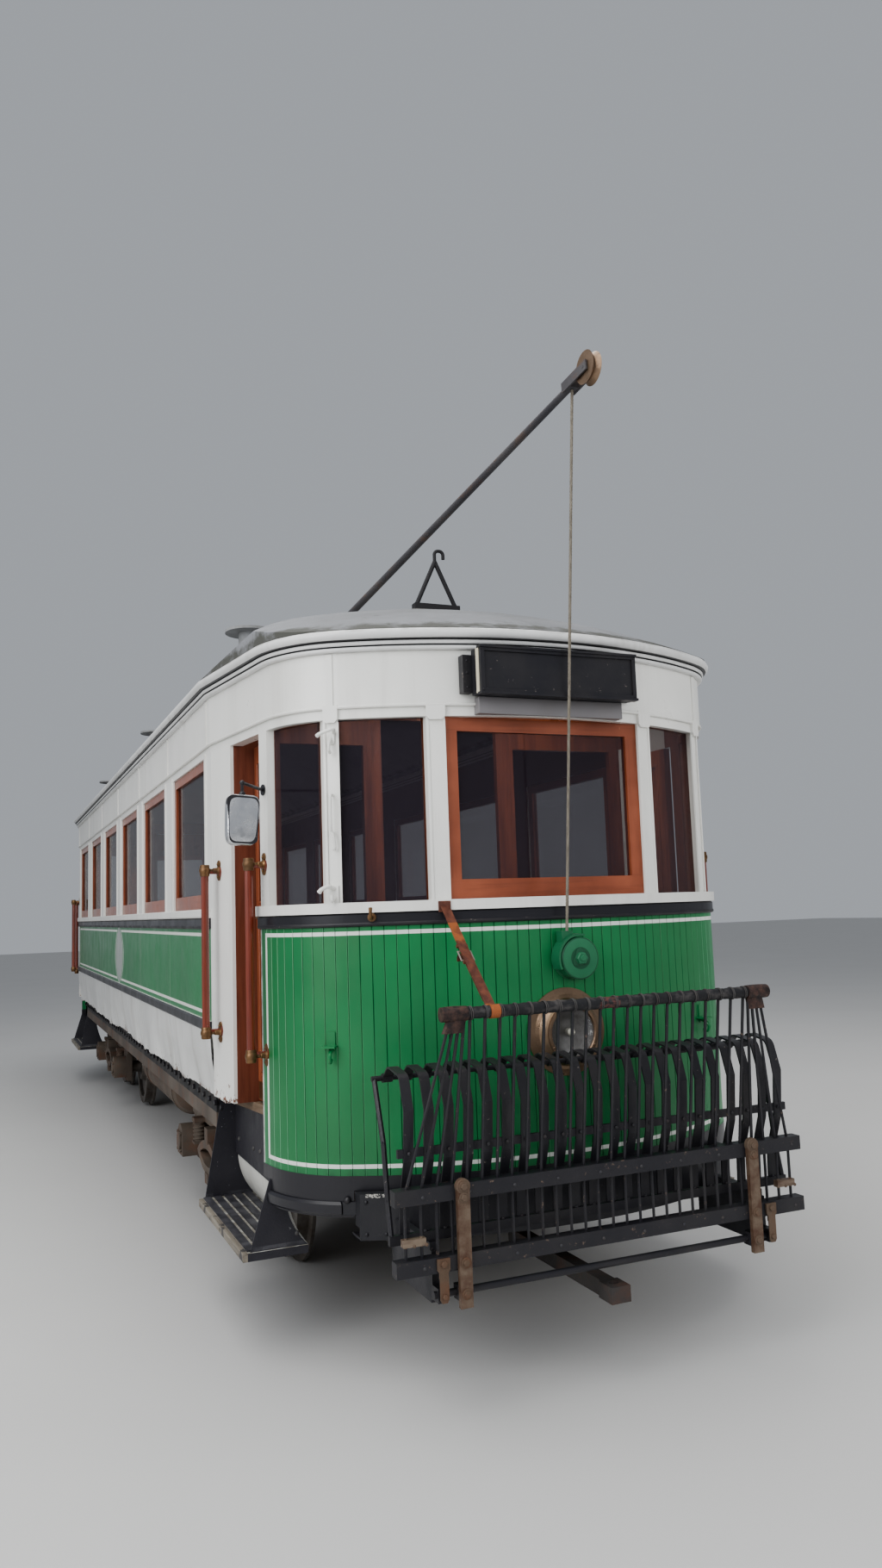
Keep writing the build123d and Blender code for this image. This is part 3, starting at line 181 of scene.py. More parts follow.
right, up, forward = camera_axes(YAW, PITCH, ROLL)
camera_data = bpy.data.cameras.new("photo_camera")
camera_data.sensor_fit = "VERTICAL"
camera_data.sensor_height = 24
camera_data.lens = FOCAL_PIXELS / FRAME_HEIGHT * camera_data.sensor_height
camera = bpy.data.objects.new("photo_camera", camera_data)
bpy.context.scene.collection.objects.link(camera)
rotation = Matrix((right, up, -forward)).transposed().to_4x4()
camera.matrix_world = Matrix.Translation(CAMERA_PLACE) @ rotation
bpy.context.scene.camera = camera
print("lens", round(camera_data.lens, 2), "mm on a 24 mm high sensor")

# %% [markdown]
# The hall in the photograph is lit by a long skylight and a tall glazed gable, so the light is
# broad and comes from above and from the far end, and the shadows under the car are soft.
# Large area lights over a pale floor give the same wrap without any picture of the hall.

# %% Light and floor
def area_light(name, place, target, size, power, tint=(1, 1, 1)):
    """A square lamp that looks from its place at a target."""
    data = bpy.data.lights.new(name, "AREA")
    data.shape = "RECTANGLE"
    data.size, data.size_y = size
    data.energy = power
    data.color = tint
    lamp = bpy.data.objects.new(name, data)
    lamp.location = place
    lamp.rotation_euler = (Vector(target) - Vector(place)).to_track_quat("-Z", "Y").to_euler()
    bpy.context.scene.collection.objects.link(lamp)
    return lamp


area_light("skylight", (-1.5, -3.0, 9.5), (0, -1.5, 1.0), (7, 16), 830, (1.0, 0.99, 0.97))
area_light("gable_fill", (-9.0, -9.0, 5.5), (0, -3.5, 1.6), (7, 6), 565, (0.97, 0.98, 1.0))
side_fill = area_light("side_fill", (9.5, -8.0, 5.0), (0.4, -4.5, 1.4), (6, 6), 260, (1.0, 0.98, 0.95))
side_fill.visible_glossy = False
front_fill = area_light("front_fill", (2.5, -14.0, 4.5), (0, -5.0, 1.4), (8, 5), 290, (0.97, 0.98, 1.0))
front_fill.visible_glossy = False
for end_y in (-4.55, 4.55):
    glow = area_light("platform_glow", (0, end_y, 2.78), (0, end_y * 0.80, 1.3), (1.3, 0.6), 11,
                      (1.0, 0.97, 0.92))
    glow.visible_camera = False
    glow.visible_glossy = False

world = bpy.data.worlds.new("studio")
world.use_nodes = True
world.node_tree.nodes["Background"].inputs["Color"].default_value = (0.80, 0.84, 0.90, 1)
world.node_tree.nodes["Background"].inputs["Strength"].default_value = 0.42
bpy.context.scene.world = world
bpy.context.scene.view_settings.view_transform = "AgX"
bpy.context.scene.view_settings.look = "AgX - Medium High Contrast"

FLOOR_HALF = 60.0
floor_mesh = bpy.data.meshes.new("studio_floor")
corners = [(-FLOOR_HALF, -FLOOR_HALF, 0), (FLOOR_HALF, -FLOOR_HALF, 0),
           (FLOOR_HALF, FLOOR_HALF, 0), (-FLOOR_HALF, FLOOR_HALF, 0)]
floor_mesh.from_pydata(corners, [], [(0, 1, 2, 3)])
studio_floor = bpy.data.objects.new("studio_floor", floor_mesh)
bpy.context.scene.collection.objects.link(studio_floor)
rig.stage(studio_floor)
print("four lamps outside, one over each platform, and a floor")

# %% [markdown]
# Finishes are written as arithmetic. A small class wraps a socket of the node tree, and each
# operator adds the Math node that does it, so a mask can be written as one minus another mask.
# A second class holds one material, adds any other node from its type and settings, and hands
# out the patterns that old paint and timber need: noise, streaks, boards and height bands.

# %% Sums on sockets
class Wire:
    """A socket that can be used in arithmetic; every operator adds one Math node."""

    def __init__(self, finish, socket):
        self.finish = finish
        self.socket = socket

    def apply(self, operation, *others, clamp=False):
        values = dict(enumerate((self,) + others))
        node = self.finish.node("ShaderNodeMath", {"operation": operation, "use_clamp": clamp}, values)
        return Wire(self.finish, node.outputs[0])

    def __add__(self, other):
        return self.apply("ADD", other)

    def __sub__(self, other):
        return self.apply("SUBTRACT", other)

    def __rsub__(self, other):
        return (self * -1.0) + other

    def __mul__(self, other):
        return self.apply("MULTIPLY", other)

    def __truediv__(self, other):
        return self.apply("DIVIDE", other)

    def __pow__(self, other):
        return self.apply("POWER", other)

    __radd__ = __add__
    __rmul__ = __mul__

    def magnitude(self):
        return self.apply("ABSOLUTE")

    def coat(self, share, colour):
        """This colour with another laid over it where the share is one."""
        return self.finish.mix(share, self, colour)

    def most(self, other):
        return self.apply("MAXIMUM", other)

    def above(self, level):
        """One where the value is greater than the level, else nought."""
        return self.apply("GREATER_THAN", level)

    def below(self, level):
        return self.apply("LESS_THAN", level)

    def between(self, low, high):
        """One inside a band, which cuts a hard painted edge."""
        return self.above(low) * self.below(high)

    def near(self, level, reach):
        """One within so far of a level on either side."""
        return (self - level).magnitude().below(reach)

    def rise(self, low, high):
        """From nought at low to one at high, held there beyond both."""
        settings = {"clamp": True}
        node = self.finish.node("ShaderNodeMapRange", settings, {0: self, 1: low, 2: high, 3: 0.0, 4: 1.0})
        return Wire(self.finish, node.outputs[0])

    def wave(self):
        return self.apply("SINE")

    def sawtooth(self, length):
        """How far along the current repeat a place is, from 0 to 1."""
        return (self / length).apply("FRACT")


def distance(across, along):
    """The root of the sum of both squares, for masks that follow a circle."""
    return (across * across + along * along) ** 0.5


class Finish:
    """One material: a Principled shader and the patterns that feed it."""

    def __init__(self, name, colour=(0.5, 0.5, 0.5), roughness=0.5, metallic=0.0, **plain):
        self.material = bpy.data.materials.new(name)
        self.material.use_nodes = True
        self.tree = self.material.node_tree
        self.shader = self.tree.nodes["Principled BSDF"]
        self.shader.inputs["Base Color"].default_value = (*colour, 1)
        self.shader.inputs["Roughness"].default_value = roughness
        self.shader.inputs["Metallic"].default_value = metallic
        for socket, value in plain.items():
            self.shader.inputs[socket.replace("_", " ")].default_value = value
        coordinates = self.node("ShaderNodeTexCoord")
        self.place = Wire(self, coordinates.outputs["Object"])
        apart = self.node("ShaderNodeSeparateXYZ", {}, {0: self.place})
        self.x, self.y, self.z = (Wire(self, apart.outputs[i]) for i in range(3))

    def node(self, kind, settings=None, values=None):
        """Any node: its settings first, then a value or a wire for each socket named or numbered."""
        node = self.tree.nodes.new(kind)
        for key, setting in (settings or {}).items():
            setattr(node, key, setting)
        for socket, value in (values or {}).items():
            if isinstance(value, Wire):
                self.tree.links.new(value.socket, node.inputs[socket])
            else:
                node.inputs[socket].default_value = value
        return node

    def stretched(self, scale, offset=(0, 0, 0)):
        """The object's own coordinates, moved, and squeezed or stretched along each axis."""
        node = self.node("ShaderNodeMapping", {}, {"Vector": self.place, "Scale": scale, "Location": offset})
        return Wire(self, node.outputs[0])

    def noise(self, scale, detail=4.0, roughness=0.55, stretch=(1, 1, 1), offset=(0, 0, 0)):
        """Cloudy noise from 0 to 1, around a half, with so many blobs to the metre."""
        values = {"Vector": self.stretched(stretch, offset), "Scale": scale, "Detail": detail,
                  "Roughness": roughness}
        node = self.node("ShaderNodeTexNoise", {}, values)
        return Wire(self, node.outputs[0])

    def cells(self, scale):
        """Distance to the nearest of many scattered points."""
        node = self.node("ShaderNodeTexVoronoi", {}, {"Vector": self.place, "Scale": scale})
        return Wire(self, node.outputs["Distance"])

    def uneven(self, scale, detail, spread, least):
        """Gloss that wanders in clouds, from the least roughness up by the spread."""
        return self.noise(scale, detail).rise(0.2, 0.8) * spread + least

    def mix(self, share, first, second):
        """Colours run from the first to the second as the share goes from 0 to 1."""
        node = self.node("ShaderNodeMix", {"data_type": "RGBA"}, {0: share})
        for socket, value in ((6, first), (7, second)):
            if isinstance(value, Wire):
                self.tree.links.new(value.socket, node.inputs[socket])
            else:
                node.inputs[socket].default_value = (*value, 1)
        return Wire(self, node.outputs[2])

    def feed(self, **wires):
        for socket, wire in wires.items():
            self.tree.links.new(wire.socket, self.shader.inputs[socket.replace("_", " ")])
        return self

    def bump(self, height, distance, strength=1.0):
        """Relief so many metres deep where the height goes from 0 to 1."""
        node = self.node("ShaderNodeBump", {}, {"Height": height, "Distance": distance, "Strength": strength})
        self.tree.links.new(node.outputs[0], self.shader.inputs["Normal"])
        return self


print("node arithmetic ready")

# %% [markdown]
# Shapes are grids of points worked out as whole arrays. This class collects such grids and turns
# them into one mesh, so a hundred rods are one piece. Every grid is rows by columns of points,
# and neighbours become four-sided faces; a grid can be closed round in either direction. The car
# is the same at both ends, so a shape also knows its end: all points are given for end a, and a
# sign of minus one turns them half a turn to end b.

# %% Grids of points become meshes
def mirror_end(p, sign):
    """The same points at the other end of the car, which is half a turn away."""
    return p if sign == 1 else p * np.array([-1.0, -1.0, 1.0])


class Shape:
    """Collects grids of points and builds one piece from them."""

    def __init__(self, sign=1):
        self.sign = sign
        self.points = []
        self.faces = []
        self.loose = []
        self.count = 0

    def grid(self, p, round_rows=False, round_columns=False, flip=False):
        """p has rows x columns x 3 numbers; each cell between neighbours is one face."""
        rows, columns = p.shape[:2]
        index = self.count + np.arange(rows * columns).reshape(rows, columns)
        if round_rows:
            index = np.vstack([index, index[:1]])
        if round_columns:
            index = np.hstack([index, index[:, :1]])
        cells = np.stack([index[:-1, :-1], index[1:, :-1], index[1:, 1:], index[:-1, 1:]], -1).reshape(-1, 4)
        self.faces.append(cells[:, ::-1] if flip else cells)
        self.points.append(mirror_end(p, self.sign).reshape(-1, 3))
        self.count += rows * columns
        return self

    def stack(self, p, flip=False):
        """Many closed tubes at once: p is pieces x rings x sides x 3. Both ends get a flat cap."""
        pieces, rings, sides = p.shape[:3]
        index = self.count + np.arange(pieces * rings * sides).reshape(pieces, rings, sides)
        around = np.concatenate([index, index[:, :, :1]], 2)
        cells = np.stack([around[:, :-1, :-1], around[:, 1:, :-1], around[:, 1:, 1:], around[:, :-1, 1:]], -1)
        cells = cells.reshape(-1, 4)
        self.faces.append(cells[:, ::-1] if flip else cells)
        first, last = index[:, 0], index[:, -1]
        self.loose.extend((first if flip else first[:, ::-1])[:, ::-1].tolist())
        self.loose.extend((last[:, ::-1] if flip else last)[:, ::-1].tolist())
        self.points.append(mirror_end(p, self.sign).reshape(-1, 3))
        self.count += pieces * rings * sides
        return self

    def piece(self, name, body, slot, finish, smooth=True, crease=35, bevel=None):
        """The finished piece, riding on a body if one is named. Creases are sharp from so many degrees."""
        mesh = bpy.data.meshes.new(name)
        faces = np.concatenate(self.faces).tolist()
        mesh.from_pydata(np.concatenate(self.points).tolist(), [], faces + self.loose)
        mesh.polygons.foreach_set("use_smooth", np.full(len(mesh.polygons), smooth))
        piece = bpy.data.objects.new(name, mesh)
        bpy.context.scene.collection.objects.link(piece)
        mesh.materials.append(finish.material)
        if smooth:
            mesh.set_sharp_from_angle(angle=math.radians(crease))
        if bevel:
            modifier = piece.modifiers.new("soft_edges", "BEVEL")
            modifier.width = bevel
            modifier.segments = 2
            modifier.limit_method = "ANGLE"
        if body:
            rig.ride(piece, body)
        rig.slot(piece, slot)
        return piece


def circle(sides):
    """Cosines and sines of equal steps round a circle."""
    angle = np.linspace(0, 2 * np.pi, sides, endpoint=False)
    return np.cos(angle), np.sin(angle)


def unit(v):
    """Vectors divided by their own lengths."""
    return v / np.linalg.norm(v, axis=-1, keepdims=True)


def rods(starts, ends, radius, sides=8):
    """Straight round bars: each ring is its end plus radius times two directions square to the bar."""
    starts, ends = np.atleast_2d(starts).astype(float), np.atleast_2d(ends).astype(float)
    along = unit(ends - starts)
    helper = np.where(np.abs(along[:, :1]) > 0.9, [[0.0, 1.0, 0.0]], [[1.0, 0.0, 0.0]])
    first = unit(np.cross(along, helper))
    second = np.cross(along, first)
    c, s = circle(sides)
    ring = first[:, None, :] * c[None, :, None] + second[:, None, :] * s[None, :, None]
    return np.stack([starts[:, None, :] + ring * radius, ends[:, None, :] + ring * radius], 1)


def swept(path, radius, sides=8, side_hint=(1, 0, 0)):
    """One bar along a path: each ring stands square to the path, turned from a fixed side direction."""
    path = np.asarray(path, float)
    along = unit(np.gradient(path, axis=0))
    first = unit(np.cross(along, np.asarray(side_hint, float)))
    second = np.cross(along, first)
    c, s = circle(sides)
    ring = first[:, None, :] * c[None, :, None] + second[:, None, :] * s[None, :, None]
    radius = np.broadcast_to(np.asarray(radius, float), (len(path),))
    return (path[:, None, :] + ring * radius[:, None, None])[None]


print("shape tools ready")

# %% [markdown]
# Enamel on the real car is brushed over old coats. It is nearly even from a step away, but the
# gloss varies and dirt runs down below each ledge. One function makes each enamel, from its colour,
# its gloss and how dirty it is; the two steps inside it are also used by finishes with more parts.

# %% Painted finishes
WHITE = (0.74, 0.735, 0.70)
GREEN = (0.021, 0.185, 0.062)
BLACK = (0.018, 0.0175, 0.022)
RUST = (0.16, 0.055, 0.022)
GRIME = (0.20, 0.17, 0.13)
WOOD = (0.27, 0.072, 0.032)


def streaks(finish, strength):
    """Dirt that has run down: noise drawn out twenty times along Z."""
    runs = finish.noise(9, 5, 0.6, (1, 1, 0.05))
    spots = finish.noise(2.2, 3)
    return (runs.rise(0.50, 0.78) * spots.rise(0.35, 0.7)) * strength


def shade(colour, share):
    """A darker or paler colour: every part times the share."""
    return tuple(part * share for part in colour)


def enamel_colour(finish, colour, streak):
    """Cloudy colour with dirt run down over it."""
    body = finish.mix(finish.noise(1.3, 4).rise(0.3, 0.7), shade(colour, 0.88), shade(colour, 1.07))
    return finish.mix(streaks(finish, streak), body, GRIME)


def enamel_surface(finish, body, roughness):
    """Gloss that varies in clouds, and brush marks drawn out sideways."""
    finish.feed(Base_Color=body, Roughness=finish.uneven(5, 4, 0.22, roughness - 0.09))
    brush = finish.noise(60, 3, 0.5, (0.15, 0.15, 1.0))
    return finish.bump(brush * 0.5 + finish.noise(3, 3) * 3.0, 0.0006)


def enamel(name, colour, roughness=0.32, streak=0.30):
    """Brushed gloss paint with cloudy colour and dirt runs."""
    finish = Finish(name, colour, roughness, IOR=1.5, Coat_Weight=0.12, Coat_Roughness=0.12)
    return enamel_surface(finish, enamel_colour(finish, colour, streak), roughness)


white_enamel = enamel("white_enamel", WHITE)
green_enamel = enamel("green_enamel", GREEN, 0.34, streak=0.12)


def iron_surface(finish, body, gloss, fine, coarse, depth):
    """Roughness in clouds over fine grit and broad hammer marks."""
    finish.feed(Base_Color=body, Roughness=finish.uneven(9, 4, 0.3, gloss))
    return finish.bump(finish.noise(fine, 4) + finish.noise(coarse, 3) * 2.0, depth)


def black_paint():
    """Black paint on iron: dull, chipped to pale metal and brown at the edges."""
    finish = Finish("black_paint", BLACK, 0.42)
    chips = finish.noise(38, 6, 0.7).rise(0.66, 0.69)
    dust = finish.noise(4, 4).rise(0.40, 0.80) * 0.35
    body = finish.mix(dust, BLACK, (0.07, 0.062, 0.055))
    body = body.coat(chips, (0.20, 0.17, 0.15))
    return iron_surface(finish, body, 0.30, 120, 14, 0.0007)


def bare_iron(name, colour=(0.085, 0.066, 0.052), rust=0.5, dust_colour=(0.20, 0.165, 0.13)):
    """Undercarriage iron under road dust: brown-grey, rough, with rust in patches."""
    finish = Finish(name, colour, 0.72)
    patches = finish.noise(7, 6, 0.6).rise(0.48, 0.66) * rust
    dust = finish.noise(2.5, 4).rise(0.4, 0.7) * 0.6
    body = finish.mix(patches, colour, RUST)
    body = body.coat(dust, dust_colour)
    finish.feed(Base_Color=body, Roughness=finish.uneven(20, 4, 0.25, 0.6))
    return finish.bump(finish.noise(90, 5), 0.0012)


black_finish = black_paint()
truck_iron = bare_iron("truck_iron")
forged_rust = bare_iron("forged_rust", (0.105, 0.068, 0.045), 0.6, (0.13, 0.10, 0.075))
dark_iron = bare_iron("dark_iron", (0.045, 0.040, 0.038), 0.3, (0.085, 0.078, 0.072))
print("enamels and iron ready")

# %% [markdown]
# Varnished timber: the grain is fine noise drawn out along the length of the piece, with broader
# bands of early and late wood under it. The varnish itself is a clear coat on top.

# %% Timber, canvas, glass and metal
ROOF_EDGE, WEAVE = 3.022, 2200.0
WALKWAY_HALF, HOOK_BAND, HOOK_HALF = 0.1705, (3.9245, 3.9755), 0.135
SASH_LOW_RAIL, SASH_TOP_RAIL = 1.915, 2.515
FLOOR_BOARD = 0.14


def varnished(name, colour, along=(1, 1, 0.06), coat=0.5):
    """Wood whose grain runs along the axis that has the small stretch."""
    finish = Finish(name, colour, 0.38, Coat_Weight=coat, Coat_Roughness=0.16)
    grain = finish.noise(70, 6, 0.6, along)
    bands = finish.noise(16, 3, 0.5, along, (3, 1, 2))
    dark = shade(colour, 0.42)
    light = (colour[0] * 1.5, colour[1] * 1.7, colour[2] * 1.6)
    body = finish.mix(bands.rise(0.3, 0.7), shade(colour, 0.8), light)
    body = body.coat(grain.rise(0.45, 0.75) * 0.7, dark)
    return finish.feed(Base_Color=body, Roughness=finish.uneven(8, 3, 0.2, 0.28)).bump(grain, 0.0005)


def canvas_roof():
    """Painted canvas: a fine weave under paint, stained by rain."""
    finish = Finish("roof_canvas_paint", (0.30, 0.305, 0.31), 0.75)
    stains = finish.noise(1.4, 6, 0.65)
    speck = finish.noise(55, 5, 0.7)
    body = finish.mix(stains.rise(0.35, 0.68), (0.245, 0.25, 0.265), (0.165, 0.17, 0.175))
    body = body.coat(speck.rise(0.62, 0.74) * 0.6, (0.10, 0.095, 0.09))
    edge = (ROOF_EDGE - finish.z).rise(0.0, 0.05) * 0.30 + finish.noise(7, 6, 0.7)
    body = body.coat(edge.rise(0.62, 0.80) * 0.85, (0.055, 0.055, 0.042))
    finish.feed(Base_Color=body)
    weave = (finish.x * WEAVE).wave() * (finish.y * WEAVE).wave()
    return finish.bump(weave * 0.3 + finish.noise(18, 5) * 2.0, 0.0008)


def fittings_paint():
    """Ventilators in roof paint, a bare grey walkway board, and black iron hooks."""
    finish = Finish("roof_fittings_paint", (0.30, 0.305, 0.31), 0.75)
    stains = finish.noise(6, 5, 0.65).rise(0.35, 0.68)
    body = finish.mix(stains, (0.30, 0.305, 0.31), (0.19, 0.19, 0.185))
    grain = finish.noise(45, 5, 0.65, (1, 0.05, 1)).rise(0.35, 0.7)
    timber = finish.mix(grain, (0.25, 0.245, 0.235), (0.12, 0.115, 0.105))
    body = body.coat(finish.x.magnitude().below(WALKWAY_HALF), timber)
    iron = finish.y.magnitude().between(*HOOK_BAND) * finish.x.magnitude().below(HOOK_HALF)
    body = body.coat(iron, (0.022, 0.021, 0.023))
    return finish.feed(Base_Color=body).bump(grain * 0.6 + finish.noise(30, 4), 0.0010)


def pole_paint():
    """Steel tube under old grey paint that has gone brown."""
    finish = Finish("pole_paint", (0.06, 0.056, 0.058), 0.55)
    rust = finish.noise(18, 6, 0.65, (1, 0.3, 1)).rise(0.52, 0.66)
    body = finish.mix(finish.noise(3, 4).rise(0.3, 0.7), (0.050, 0.048, 0.055), (0.085, 0.080, 0.082))
    finish.feed(Base_Color=finish.mix(rust * 0.6, body, (0.12, 0.07, 0.045)))
    return finish.bump(finish.noise(60, 4), 0.0006)


def window_glass():
    """Old flat glass, partly opaque and nearly black, the black a painted shade for the dark saloon behind it: mostly
    reflection, faintly uneven and dusty.
    """
    finish = Finish("window_glass", (0.033, 0.027, 0.038), 0.04, IOR=1.52, Alpha=0.40)
    dust = finish.noise(3, 5, 0.6).rise(0.4, 0.8)
    return finish.feed(Roughness=dust * 0.10 + 0.02).bump(finish.noise(2.2, 2), 0.0025)


def metal(name, colour, roughness, tarnish, depth=0.0006):
    """Cast or turned metal whose polish has gone dull in clouds."""
    finish = Finish(name, colour, roughness, 1.0)
    dull = finish.noise(11, 5, 0.6).rise(0.35, 0.7)
    body = finish.mix(dull * 0.85, colour, tarnish)
    finish.feed(Base_Color=body, Roughness=dull * 0.3 + roughness, Metallic=1.0 - dull * 0.35)
    return finish.bump(finish.noise(70, 4), depth)


def plain_boards():
    """Floor boards: worn timber with a dark joint every 140 mm."""
    finish = Finish("floor_boards", (0.16, 0.11, 0.07), 0.75)
    joint = finish.x.sawtooth(FLOOR_BOARD).below(0.03)
    grain = finish.noise(40, 5, 0.6, (1, 0.05, 1))
    body = finish.mix(grain.rise(0.3, 0.7), (0.12, 0.08, 0.05), (0.22, 0.16, 0.11))
    body = body.coat(joint, (0.02, 0.015, 0.01))
    return finish.feed(Base_Color=body).bump(grain * 0.4 - joint, 0.002)


def sash_wood():
    """Sash timber: the grain runs up the stiles, and along the rails at the bottom and the top."""
    finish = Finish("sash_wood", WOOD, 0.36, Coat_Weight=0.45, Coat_Roughness=0.18)
    rail = finish.z.below(SASH_LOW_RAIL).most(finish.z.above(SASH_TOP_RAIL))
    up, level = finish.noise(64, 6, 0.6, (1, 1, 0.05)), finish.noise(64, 6, 0.6, (0.05, 0.05, 1))
    grain = up + (level - up) * rail
    patches = finish.noise(4, 4).rise(0.3, 0.7)
    body = finish.mix(patches, shade(WOOD, 0.80), (0.33, 0.095, 0.045))
    body = body.coat(grain.rise(0.50, 0.72) * 0.42, shade(WOOD, 0.45))
    scratches = finish.noise(30, 3, 0.6, (1, 1, 0.2)).above(0.735)
    body = body.coat(scratches * 0.5, (0.40, 0.22, 0.14))
    return finish.feed(Base_Color=body, Roughness=finish.uneven(8, 3, 0.2, 0.26)).bump(grain, 0.0004)


sash_timber = sash_wood()
upright_wood = varnished("upright_wood", WOOD)
cross_wood = varnished("cross_wood", WOOD, (0.06, 1, 1))
roof_paint = canvas_roof()
roof_fittings_paint = fittings_paint()
grey_pole = pole_paint()
glass = window_glass()
bronze = metal("lamp_bronze", (0.36, 0.25, 0.17), 0.27, (0.15, 0.105, 0.075))
brass = metal("old_brass", (0.28, 0.165, 0.085), 0.32, (0.10, 0.062, 0.038))
# The wheel steel is dark: grime, and painted shade for the shadow that falls on the wheels under the car.
steel = metal("wheel_steel", (0.20, 0.185, 0.17), 0.42, (0.085, 0.065, 0.05))
chrome = metal("mirror_chrome", (0.75, 0.76, 0.78), 0.10, (0.5, 0.5, 0.5))
# The mirror glass is kept dark: a painted reflection of a dark hall.
mirror_dark_reflection = Finish("mirror_glass", (0.16, 0.16, 0.165), 0.05, Metallic=1.0)
floor_boards = plain_boards()
retriever_paint = enamel("retriever_paint", (0.022, 0.135, 0.062), 0.36, streak=0.1)
rope_fibre = Finish("rope_fibre", (0.33, 0.29, 0.21), 0.85)
fibre = rope_fibre.noise(160, 4, 0.6, (1, 1, 0.2))
rope_fibre.feed(Base_Color=rope_fibre.mix(fibre.rise(0.3, 0.7), (0.115, 0.10, 0.080), (0.24, 0.215, 0.175)))

floor_finish = Finish("studio_floor_paint", (0.56, 0.555, 0.545), 0.8)
floor_cloud = floor_finish.noise(0.7, 3)
floor_finish.feed(Base_Color=floor_finish.mix(floor_cloud, (0.54, 0.535, 0.525), (0.58, 0.575, 0.565)))
studio_floor.data.materials.append(floor_finish.material)
print(len(bpy.data.materials), "finishes")

# %% [markdown]
# The saloon side is one wall with four paints on it. Real painters cut these in along the
# mouldings, so the colour changes at exact heights: white above the sill, black on the belt and
# on the lower moulding, green between them, white again on the rocker, and timber inside.

# %% Side wall paint
HALF_WIDTH, WALL, PILLAR_PITCH = 1.200, 0.060, 1.287
SILL_TOP, SILL_BOTTOM, BELT_BOTTOM = 1.828, 1.785, 1.735
LOW_MOULD_TOP, LOW_MOULD_BOTTOM = 1.290, 1.235
DASH_BOTTOM = 0.700
DASH_BAND_TOP = DASH_BOTTOM + 0.055
PANEL_EDGE, PANEL_CURVE = 3.834, 0.235
JAMB_FACE, JAMB_WHITE = 4.150, 1.147
LINING_HEIGHT_TOP, LINING_HEIGHT_LOW, LINING_HALF = 1.702, 1.322, 0.0085


def wall_paint():
    """White, black, green, black and white by height; timber where the wall faces inwards."""
    finish = Finish("wall_paint", WHITE, 0.34, IOR=1.5, Coat_Weight=0.1, Coat_Roughness=0.15)
    cloud = finish.noise(1.1, 4).rise(0.3, 0.7)
    white = finish.mix(cloud, (0.68, 0.675, 0.64), (0.78, 0.775, 0.745))
    white = white.coat(streaks(finish, 0.38), GRIME)
    low = (0.98 - finish.z).rise(-0.12, 0.12)
    flakes = (finish.noise(30, 6, 0.68) + low * 0.26).rise(0.70, 0.735)
    white = white.coat(flakes * (1.2 - finish.z).rise(0.0, 0.1), RUST)
    green = finish.mix(cloud, shade(GREEN, 0.86), shade(GREEN, 1.08))
    reach = finish.y.magnitude()
    saloon = reach.below(PANEL_EDGE)
    runs = finish.noise(5, 5, 0.65, (1, 1, 0.1)).rise(0.50, 0.75)
    green = green.coat(runs * 0.35, (0.05, 0.13, 0.06))
    joint = ((finish.y / PILLAR_PITCH + 0.5).apply("FRACT") - 0.5).magnitude().below(0.0016)
    green = green.coat(joint * 0.8, (0.45, 0.50, 0.42))
    middle = finish.z - (LOW_MOULD_TOP + BELT_BOTTOM) / 2
    bulge = (1.0 - (middle / PANEL_CURVE) ** 2.0) * PANEL_CURVE
    past = reach - bulge
    level = finish.z.near(LINING_HEIGHT_TOP, LINING_HALF).most(
        finish.z.near(LINING_HEIGHT_LOW, LINING_HALF)) * past.above(0.045)
    between_levels = finish.z.between(LINING_HEIGHT_LOW - LINING_HALF, LINING_HEIGHT_TOP + LINING_HALF)
    upright = reach.near(PANEL_EDGE - 0.098, LINING_HALF).most(past.between(0.045, 0.061))
    line = (level * reach.below(PANEL_EDGE - 0.09)).most(upright * between_levels)
    green = green.coat(line, (0.70, 0.73, 0.67))
    green = green.coat(past.below(0.0), (0.34, 0.37, 0.35))
    green = green.coat(past.between(-0.020, 0.0), (0.66, 0.68, 0.63))
    green = green.coat(past.between(-0.045, -0.036), (0.05, 0.07, 0.05))
    colour = finish.mix(finish.z.between(LOW_MOULD_TOP, BELT_BOTTOM) * saloon, white, green)
    belt = finish.z.between(BELT_BOTTOM, SILL_BOTTOM) + finish.z.between(LOW_MOULD_BOTTOM, LOW_MOULD_TOP)
    colour = colour.coat(belt * reach.below(PANEL_EDGE + 0.005), BLACK)
    inside = finish.x.magnitude().below(HALF_WIDTH - WALL + 0.002) * saloon
    colour = colour.coat(inside, (0.16, 0.045, 0.02))
    reveal = reach.above(JAMB_FACE - 0.0006) * finish.x.magnitude().below(JAMB_WHITE)
    grain = finish.noise(60, 5, 0.6, (1, 1, 0.06)).rise(0.35, 0.7)
    colour = colour.coat(reveal, finish.mix(grain, (0.19, 0.062, 0.036), (0.12, 0.036, 0.022)))
    finish.feed(Base_Color=colour, Roughness=finish.uneven(6, 4, 0.2, 0.26))
    return finish.bump(finish.noise(2.2, 4) * 4.0 + finish.noise(60, 3, 0.5, (0.1, 0.1, 1)) * 0.5, 0.0010)


def dash_paint():
    """Green between a black belt and a black bottom band, under the boards that are laid on it later."""
    finish = Finish("dash_paint", GREEN, 0.34, IOR=1.5, Coat_Weight=0.1, Coat_Roughness=0.15)
    dark = finish.z.above(BELT_BOTTOM).most(finish.z.below(DASH_BAND_TOP))
    finish.feed(Base_Color=finish.mix(dark, GREEN, BLACK))
    return finish.bump(finish.noise(60, 3, 0.5, (1, 1, 0.1)), 0.0005)


wall_finish = wall_paint()
dash_finish = dash_paint()

